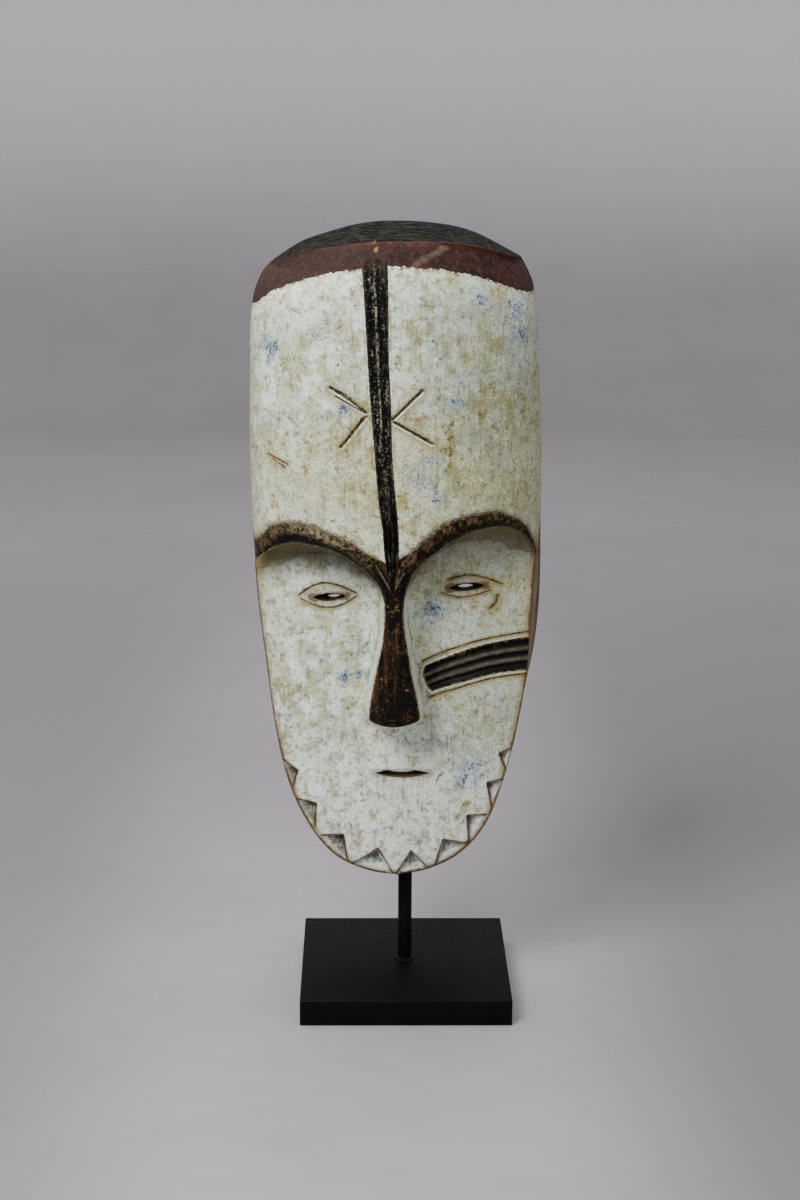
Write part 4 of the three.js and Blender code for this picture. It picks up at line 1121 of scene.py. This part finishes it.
def brows_and_nose(p, paint, worn, covered):
    """Black brows and nose with a painted highlight over the upper part of the brows, wear and bright specks, a
    painted highlight on the bevel above the right brow, and the dirt that runs beside them.
    """
    x, _, z = p.axes
    within, upper = p.guide("t_inside"), p.guide("t_upper")
    left_brow = p.near(x, -62, 42)
    # sheen: a painted highlight over the rounded upper part of the brows, mauve on the left brow and brown on the
    # right
    sheen = p.near(upper, 4.4, 5.2) * p.step(z, 318, 336) * p.spots(0.2, 0.7, crumbs=1, specks=0.7)
    nose = p.step(z, 300, 282) * p.step(z, 216, 262)
    black = p.coats(p.kit["black"], [
        (worn * 0.8, "worn"),
        (p.spots(0.78, 0.98, fine=1, mid=0.5) * 0.6, "gold"),
        (sheen * left_brow * 0.9, "mauve"),
        (sheen * (1 - left_brow) * p.spots(0.3, 0.65, streaks=1) * 0.58, "patina"),
        (nose * p.step(0.5 - (x + 12) * 0.02, 0.45, 0.85, long_streaks=1) * 0.5, "worn"),
        (p.step(within, 1.6, 0.5) * p.spots(0.45, 0.6, specks=1) * 0.5, "patina"),
        (p.step(p.guide("v_line"), 0.55, 0.2, fine=0.2) * 0.22, "glint"),
    ])
    # bevel: a painted highlight along the bevel above the right brow
    bevel = p.near(within, -1.1, 0.8) * p.step(x, 0, 12) * p.step(x, 84, 78) * p.step(upper, 4, 3)
    fringe = p.step(within, -2.6, -0.6, specks=4) * p.step(upper, 12, 3)
    groove = p.near(within, -2.3, 0.7, mid=0.8) * p.step(upper, 6, 4) * p.step(z, 318, 326)
    return p.coats(paint, [
        (bevel * p.spots(0.3, 0.55, mid=1) * 0.6, "clay_light_and_highlight"),
        (fringe * 0.55, "brown"),
        (groove * p.spots(0.42, 0.62, crumbs=1) * 0.5, "brown"),
        (covered, black),
    ])


def forehead_band(p, paint, worn, covered):
    """The grooved black band with glints in its grooves and a pale ridge between them."""
    z = p.axes[2]
    across = p.guide("band_across")
    glints = p.spots(0.62, 0.86, fine=1, streaks=0.7, mid=0.4)
    shiny = (0.34 + p.near(across, 0.27, 0.17) * 0.42) * (0.4 + p.step(z, 350, 420) * 0.65)
    ridge = p.near(across, 0.475, 0.08) * p.spots(0.46, 0.7, specks=1, mid=0.6) * p.step(z, 350, 400)
    thin_ridge = p.near(across, 0.93, 0.025) * p.step(z, 380, 400) * p.spots(0.3, 0.6, mid=1)
    line = p.coats(p.kit["black"], [
        (glints * shiny, "glint"),
        (ridge * 0.45, "clay_shade"),
        (ridge * p.spots(0.44, 0.7, crumbs=1) * 0.7, "patina"),
        (p.step(across, 0.13, 0.02) * (0.25 + p.spots(0.42, 0.8, mid=1) * 0.5), "worn"),
        (p.step(across, 0.88, 0.95) * (0.2 + p.spots(0.4, 0.8, mid=1) * 0.5), "worn"),
        (thin_ridge * 0.6, "patina"),
        (worn * p.near(z, 392, 60) * 0.5, "worn"),
    ])
    beside = p.near(p.guide("band_inside"), -1.0, 1.5) * p.spots(0.42, 0.6, streaks=1) * p.step(z, 352, 362)
    return p.coats(paint, [(beside * 0.45, "brown"), (covered, line)])


def cheek_stripe(p, paint, worn, covered):
    """The ridged black stripe over the cheek, inside a thin pale border."""
    across, inward = p.guide("stripe_across"), p.guide("stripe_inside")
    ridges = p.near(across, 0.35, 0.11).at_least(p.near(across, 0.65, 0.11))
    stripe = p.coats(p.kit["black"], [
        (ridges * (0.45 + p.spots(0.35, 0.75, crumbs=1) * 0.55), "ridge"),
        (p.step(across, 0.66, 0.95) * worn * 0.9, "worn"),
        (p.step(inward, 1.7, 0.6) * p.spots(0.4, 0.6, specks=1) * 0.6, "patina"),
    ])
    return p.coats(paint, [
        (p.near(inward, -0.9, 1.0, crumbs=0.6) * p.spots(0.3, 0.55, mid=1) * 0.2, "clay_light_and_highlight"),
        (p.near(inward, -3.2, 2.8) * p.spots(0.36, 0.6, specks=1) * 0.5, "brown"),
        (covered, stripe),
    ])


def red_and_crown(p, paint, arch, on_crown):
    """Red over the top of the forehead, brighter at its worn upper edge, and the blackened crown."""
    x = p.axes[0]
    bright = p.step(p.guide("rim"), 5, 1, mid=5) * p.near(x, 4, 84) * p.spots(0.3, 0.6, long_streaks=1)
    red = p.coats(p.kit["red_dark"], [
        (p.spots(0.3, 0.7, mid=1, streaks=0.5), "red"),
        (p.step(x, -10, -70, patches=40) * 0.5, "red_grey"),
        (p.spots(0.6, 1.0, fine=1, specks=1) * 0.35, "grey"),
        (bright * 0.42, "orange"),
        (p.step(p.guide("smear"), 3.2, 0.4, crumbs=6) * 0.16, "mauve"),
    ])
    crown = p.coats(p.kit["cap"], [
        (p.spots(0.5, 0.74, strokes=1), "cap_light"),
        (p.spots(0.62, 0.78, specks=1) * 0.2, "grey"),
    ])
    return p.coats(paint, [
        (p.near(arch, RED_EDGE - 0.7, 2.2, mid=3.2) * p.spots(0.4, 0.6, specks=1) * 0.55, "brown"),
        (p.step(arch, RED_EDGE - 0.4, RED_EDGE + 0.4, specks=2.2, mid=2), red),
        (on_crown, crown),
        (p.step(p.guide("crown_spots"), 0.35, 0.6, specks=0.5) * 0.7, "patina"),
    ])


def bare_wood(p, paint, arch, crack):
    """Clay on the sides that turns dusty and ends on bare wood at the back and in the hollow."""
    _, y, z = p.axes
    wood = p.coats(p.kit["wood_dark"], [
        (p.spots(0.2, 0.85, wood_grain=1), "wood"),
        (p.spots(0.45, 0.9, long_streaks=1) * 0.45, "wood_light"),
        (p.spots(0.45, 0.85, patches=1, large=0.6) * 0.5, "wood_dark"),
        (p.spots(0.8, 1.1, fine=1, crumbs=0.5) * 0.4, "soot_and_shade"),
    ])
    dusty = p.step(p.guide("side"), 0.4, 2.6, specks=1.2)
    dusty = dusty * p.step(arch, RED_EDGE + 0.5, RED_EDGE - 1.5, specks=2.2, mid=2)
    face_side = dusty * p.step(z, 350, 326, patches=14)
    return p.coats(paint, [
        (dusty * 0.26, "ochre"),
        (face_side * (0.45 + p.spots(0.3, 0.9, streaks=1, patches=0.6) * 0.4), "wood"),
        (p.step(y, 2, 24, patches=16, long_streaks=7) * dusty * 0.92, wood),
        (crack * 0.9, "black"),
        (p.step(p.guide("hollow"), 0.4, 0.6), wood),
    ])


def mask_paint(kit):
    """Worn white clay, black brows and lines, red over the forehead and a black crown on brown wood."""
    p = Paint("mask_paint", kit, MASK_GRAINS, Roughness=0.6, Specular_IOR_Level=0.1)
    x, y, z = p.axes
    # aged: the clay turns greyer towards the right
    aged = p.step(x, -25, 62, patches=90)
    worn = p.spots(0.56, 0.92, specks=1, mid=0.8, long_streaks=0.4)
    on_t = p.step(p.guide("t_inside"), -0.15, 0.3, specks=1.1, fine=0.7)
    on_band = p.step(p.guide("band_inside"), -0.25, 0.25, fine=0.7)
    on_stripe = p.step(p.guide("stripe_inside"), -0.15, 0.35, fine=0.9)
    on_crown = p.step(p.guide("side"), 0.1, 0.9, specks=1.6) * p.step(z - x * 0.03, 526.0, 528.5, mid=2)
    arch = z + ARCH_SAG * ((x - MIDDLE_X) / ARCH_SPAN) ** 2
    arch = arch + p.step(x, -88, -108) * 5 - p.step(x, 74, 92) * 4
    crack = p.near(y, 4.0, 0.8, long_streaks=3) * p.near(z, 372, 26) * p.step(x, 88, 90)
    crack = p.step(crack, 0.2, 0.45)

    paint = dirt_in_cuts(p, white_clay(p, aged))
    paint = jaw_notches(p, ledges_and_rim(p, paint, aged))
    paint = brows_and_nose(p, paint, worn, on_t)
    paint = forehead_band(p, paint, worn, on_band)
    paint = cheek_stripe(p, paint, worn, on_stripe)
    paint = red_and_crown(p, paint, arch, on_crown)
    paint = bare_wood(p, paint, arch, crack)

    dark_parts = on_t.at_least(p.step(p.guide("band_inside"), -0.25, 0.25))
    dark_parts = dark_parts.at_least(p.step(p.guide("stripe_inside"), -0.15, 0.35))
    roughness = p.stir(0.62 - dark_parts * 0.16 + on_crown * 0.3, mid=0.2)
    relief = p.stir(on_crown * p.stir(0.0, strokes=0.9), fine=0.16, specks=0.16, streaks=0.2, mid=0.16)
    relief = relief + p.guide("hollow") * p.stir(0.0, wood_grain=0.3)
    return p.finish(paint, roughness, relief - p.spots(0.62, 0.72, specks=1) * 0.06 - crack * 0.5)


# Finishes of the stand and the floor
def satin_black(name, color, rough, chip=None):
    """Black lacquer with faint dust and a few small light chips."""
    p = Paint(name, None, LACQUER_GRAINS, Roughness=rough, Specular_IOR_Level=0.08)
    paint = p.blend(p.spots(0.4, 0.75, dust=1) * 0.25, color, tuple(c * 1.6 + 0.002 for c in color))
    if chip:
        paint = p.blend(p.spots(1.12, 1.16, fine=1, dust=0.6) * 0.7, paint, chip)
    return p.finish(paint, p.stir(rough, dust=0.18), p.stir(0.0, tooth=0.03))


def floor_finish(color):
    """A plain pale floor with painted shade far off, low on the wall behind and to the sides, under a wall that is
    painted lighter higher up as if lit from above.
    """
    p = Paint("floor_finish", None, FLOOR_GRAINS, Roughness=0.85, Specular_IOR_Level=0.2)
    x, y, z = p.axes
    shade, floor_only = tone(color, 0.5), p.step(y, 1800, 600)
    return p.finish(p.coats(tone(color, 0.95), [
        (p.spots(0.2, 0.8, clouds=1), tone(color, 1.05)),
        (p.spots(0.5, 0.75, weave=1) * 0.16, tone(color, 0.8)),
        # painted shade: darker far behind and to the sides, as the lamps' light falls off; the wall painted lighter
        # high up
        (p.step(z, 700, 40) * p.step(y, -250, 600) * 0.46, shade),
        (p.step(x, 60, 260) * floor_only * 0.95, shade),
        (p.step(x, -110, -330) * floor_only * 0.8, shade),
        (p.step(z, 120, 760) * 0.9, tone(color, 1.95)),
    ]))


# Pieces
def turned(profile, steps):
    """Spins a line of points round the upright axis into a closed shape."""
    bm = bmesh.new()
    verts = [bm.verts.new(point) for point in profile]
    geom = verts + [bm.edges.new(pair) for pair in zip(verts, verts[1:])]
    bmesh.ops.spin(bm, geom=geom, cent=(0, 0, 0), axis=(0, 0, 1), angle=math.tau, steps=steps, use_merge=True)
    bmesh.ops.remove_doubles(bm, verts=bm.verts, dist=MERGE)
    bmesh.ops.recalc_face_normals(bm, faces=bm.faces)
    return bm


def build_rod(radius):
    """A turned rod with a small bead at its foot, from inside the board into the chin."""
    low, high, bead = rod_low.z / MM, rod_high.z / MM, board_high.z / MM + BEAD_GAP
    profile = [(0, low), (radius - 0.4, low), (radius, low + 0.4), (radius, bead), (BEAD_RADIUS - 0.3, bead),
               (BEAD_RADIUS, bead + 0.35), (BEAD_RADIUS - 0.5, bead + 0.9), (radius + 0.7, bead + 1.25),
               (radius, bead + BEAD_HEIGHT), (radius, high - 1), (radius - 0.6, high), (0, high)]
    return shaded(turned([Vector((r, 0, z)) * MM for r, z in profile], ROD_STEPS), ROD_CREASE)


def build_board(ease):
    """A square board with eased edges and a hole for the rod."""
    bm = bmesh.new()
    size, middle = board_high - board_low, (board_high + board_low) / 2
    bmesh.ops.create_cube(bm, size=1.0, matrix=Matrix.Translation(middle) @ Matrix.Diagonal((*size, 1)))
    bmesh.ops.bevel(bm, geom=bm.edges[:], offset=ease, segments=3, profile=0.5, affect="EDGES", material=-1)
    hole, radius = bmesh.new(), (HALF_ROD + GAP) * MM
    bmesh.ops.create_cone(hole, cap_ends=True, segments=ROD_STEPS, radius1=radius, radius2=radius,
                          depth=2 * (board_high.z - rod_low.z + GAP * MM),
                          matrix=Matrix.Translation((0, 0, board_high.z)))
    return shaded(cut("board_block", bm, [hole]), BOARD_CREASE)


def shaded(bm, crease):
    """Smooth faces, with edges that are sharper than `crease` degrees left crisp."""
    for face in bm.faces:
        face.smooth = True
    for edge in bm.edges:
        edge.smooth = len(edge.link_faces) == 2 and edge.calc_face_angle(0) < math.radians(crease)
    return bm


def put(name, bm, material, node):
    """Links a finished piece, gives it its paint, rides it on the root and lets it stand for its node."""
    obj = link(name, bm)
    obj.data.materials.append(material)
    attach(obj, "root")
    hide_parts(node)
    return obj


def lamp(name, place, target, size, power, color):
    """A soft square lamp that looks at a target, in metres."""
    data = bpy.data.lights.new(name, "AREA")
    data.energy, data.size, data.color = power, size, color
    obj = bpy.data.objects.new(name, data)
    facing = (Vector(place) - Vector(target)).to_track_quat("Z", "Y")
    obj.matrix_world = Matrix.Translation(place) @ facing.to_matrix().to_4x4()
    bpy.context.scene.collection.objects.link(obj)


def place_camera():
    """The camera, at the place and turn that frame the whole mask on its stand."""
    data = bpy.data.cameras.new("camera")
    data.lens, data.sensor_width = CAMERA_LENS, 36.0
    camera = bpy.data.objects.new("camera", data)
    camera.matrix_world = (
        Matrix.Translation(Vector(CAMERA_PLACE) * MM)
        @ Matrix.Rotation(math.radians(CAMERA_TURN), 4, "Z")
        @ Matrix.Rotation(math.radians(90 - CAMERA_DOWN), 4, "X")
        @ Matrix.Rotation(math.radians(CAMERA_ROLL), 4, "Z")
    )
    bpy.context.scene.collection.objects.link(camera)
    bpy.context.scene.camera = camera


def sweep(radius, curve, height):
    """A round floor that curves up into a wall all round, so that no line shows behind the object."""
    angles = [math.pi / 2 * k / 12 for k in range(13)]
    profile = [(0, 0), (radius / 2, 0), *((radius + curve * math.sin(a), curve * (1 - math.cos(a))) for a in angles),
               (radius + curve, curve + height)]
    bm = turned([(r, 0, z - FLOOR_GAP * MM) for r, z in profile], FLOOR_STEPS)
    if bm.faces[0].normal.z < 0:
        bmesh.ops.reverse_faces(bm, faces=bm.faces)
    return shaded(bm, FLOOR_CREASE)


# Settings, tools and panel
def color_setting(name, description, *screen):
    return FloatVectorProperty(name=name, description=description, subtype="COLOR", size=3, min=0.0, max=1.0,
                               default=srgb(*screen))


class FacemaskPaints(bpy.types.PropertyGroup):
    clay: color_setting("Clay", "White clay over the face and forehead", 236, 247, 233)
    # clay_light_and_highlight: thick or clean clay, and also the painted highlights on the bevel above the right brow
    # and on the lower walls of wide cuts
    clay_light_and_highlight: color_setting("Clean clay", "Clay where it is thick or rubbed clean", 236, 242, 236)
    clay_shade: color_setting("Thin clay", "Clay where it is thin and aged", 190, 196, 154)
    aged: color_setting("Aged clay", "Greyer clay over the right half", 124, 132, 98)
    cream: color_setting("Cream clay", "Yellower clay above the brows", 196, 193, 138)
    ochre: color_setting("Ochre patina", "Yellow age stain in the clay", 152, 137, 82)
    # tan: ochre stain, deepened on the ledge under the brows as painted shade; also fine specks and dirt in the
    # notches
    tan: color_setting("Tan", "Stain on the ledge under the brows", 100, 88, 54)
    patina: color_setting("Rim patina", "Tan wear on rims and round the slits", 138, 114, 72)
    brown: color_setting("Brown", "Wood that shows through at rims and edges", 76, 52, 26)
    # grey: grey dirt, and also painted shade under the brows, beside and under the nose and along the left edge
    grey: color_setting("Grey smudge", "Grey dirt on the clay", 100, 99, 80)
    # soot: dark dirt, and also painted shade inside the slits, deep in the jaw notches and on the upper walls of the
    # cuts
    soot_and_shade: color_setting("Soot", "Dark dirt in cuts and pores", 34, 31, 22)
    blue: color_setting("Blue fleck", "Flecks of washing blue", 46, 64, 108)
    pale_blue: color_setting("Pale blue", "Thin blue cloud round the flecks", 142, 166, 194)
    black: color_setting("Black", "Brows, nose and carved lines", 12, 10, 8)
    worn: color_setting("Worn black", "Wood that shows through the black", 84, 58, 32)
    gold: color_setting("Bright wear", "Small bright specks in the black", 176, 140, 82)
    # mauve: the painted highlight on the upper part of the left brow, and the smear on the red
    mauve: color_setting("Brow sheen", "Grey mauve bloom on the brows", 158, 145, 112)
    glint: color_setting("Groove glint", "Grey white glints in the grooves", 168, 172, 160)
    ridge: color_setting("Ridge", "Grey ridges of the cheek stripe", 100, 96, 82)
    red: color_setting("Red", "Red over the forehead", 57, 28, 24)
    red_grey: color_setting("Dusty red", "Red under grey dust on the left", 60, 46, 39)
    red_dark: color_setting("Dark red", "Red where it is thick", 34, 20, 17)
    orange: color_setting("Orange edge", "Bright worn edge below the cap", 100, 42, 22)
    cap: color_setting("Cap", "Blackened top of the block", 2, 2, 2)
    cap_light: color_setting("Cap strokes", "Lighter tool strokes on the cap", 56, 56, 50)
    wood: color_setting("Wood", "Bare wood at the back", 98, 76, 52)
    wood_light: color_setting("Light wood", "Lighter grain of the bare wood", 122, 98, 68)
    wood_dark: color_setting("Dark wood", "Darker grain of the bare wood", 66, 49, 33)


class FacemaskSettings(bpy.types.PropertyGroup):
    paints: PointerProperty(type=FacemaskPaints, name="Paints", description="Colours of the mask")
    rod_color: color_setting("Rod colour", "Black paint of the rod", 9, 9, 10)
    board_color: color_setting("Board colour", "Black lacquer of the board", 6, 7, 8)
    board_ease: FloatProperty(name="Board edge", description="Rounding of the board's edges", default=0.8 * MM,
                              min=0.0, unit="LENGTH")
    chip_color: color_setting("Chip colour", "Small chips in the board's lacquer", 120, 118, 112)
    floor_color: color_setting("Floor colour", "Plain pale floor and backdrop", 149, 145, 149)
    lamp_power: FloatProperty(name="Lamp power", description="Power of the main lamp in watts", default=53.0, min=0.0)


def settings():
    """The add-on's settings in the present scene."""
    return bpy.context.scene.facemask


class FACEMASK_OT_mask(bpy.types.Operator):
    """Carve and paint the mask"""

    bl_idname = "facemask.mask"
    bl_label = "Build mask"

    def execute(self, context):
        paints = settings().paints
        kit = {name: tuple(getattr(paints, name)) for name in FacemaskPaints.__annotations__}
        obj = put("mask_body", carve_mask(), mask_paint(kit), "mask")
        paint_guides(obj.data)
        return {"FINISHED"}


class FACEMASK_OT_rod(bpy.types.Operator):
    """Turn the rod that carries the mask"""

    bl_idname = "facemask.rod"
    bl_label = "Build rod"

    def execute(self, context):
        finish = satin_black("rod_paint", tuple(settings().rod_color), ROD_ROUGHNESS)
        put("rod", build_rod(HALF_ROD), finish, "stand_rod")
        return {"FINISHED"}


class FACEMASK_OT_board(bpy.types.Operator):
    """Cut the square board that the rod stands in"""

    bl_idname = "facemask.board"
    bl_label = "Build board"

    def execute(self, context):
        kit = settings()
        finish = satin_black("board_lacquer", tuple(kit.board_color), BOARD_ROUGHNESS, tuple(kit.chip_color))
        put("board", build_board(kit.board_ease), finish, "base_plate")
        return {"FINISHED"}


class FACEMASK_OT_stage(bpy.types.Operator):
    """Set up the plain floor, the soft lamps and the camera"""

    bl_idname = "facemask.stage"
    bl_label = "Build stage"

    def execute(self, context):
        kit = settings()
        floor = link("floor", sweep(*SWEEP))
        floor.data.materials.append(floor_finish(tuple(kit.floor_color)))
        for name, place, size, share, color in LAMPS:
            lamp(name, place, LAMP_TARGET, size, kit.lamp_power * share, color)
        world = bpy.data.worlds.new("room")
        world.use_nodes = True
        world.node_tree.nodes["Background"].inputs["Color"].default_value = (*ROOM_COLOR, 1.0)
        world.node_tree.nodes["Background"].inputs["Strength"].default_value = ROOM_STRENGTH
        context.scene.world = world
        place_camera()
        return {"FINISHED"}


class FACEMASK_PT_panel(bpy.types.Panel):
    """Tools that build the mask, its stand and its stage"""

    bl_idname = "FACEMASK_PT_panel"
    bl_label = "Carved mask"
    bl_space_type = "VIEW_3D"
    bl_region_type = "UI"
    bl_category = "Mask"

    def draw(self, context):
        column = self.layout.column()
        for tool in TOOLS:
            column.operator(tool.bl_idname)


TOOLS = [FACEMASK_OT_mask, FACEMASK_OT_rod, FACEMASK_OT_board, FACEMASK_OT_stage]
CLASSES = [FacemaskPaints, FacemaskSettings, *TOOLS, FACEMASK_PT_panel]


def register():
    for cls in CLASSES:
        bpy.utils.register_class(cls)
    bpy.types.Scene.facemask = PointerProperty(type=FacemaskSettings, name="Carved mask",
                                               description="Settings of the carved mask")


def unregister():
    del bpy.types.Scene.facemask
    for cls in reversed(CLASSES):
        bpy.utils.unregister_class(cls)


def main():
    register()
    bpy.ops.facemask.mask()
    bpy.ops.facemask.rod()
    bpy.ops.facemask.board()
    bpy.ops.facemask.stage()


if __name__ == "__main__":
    main()
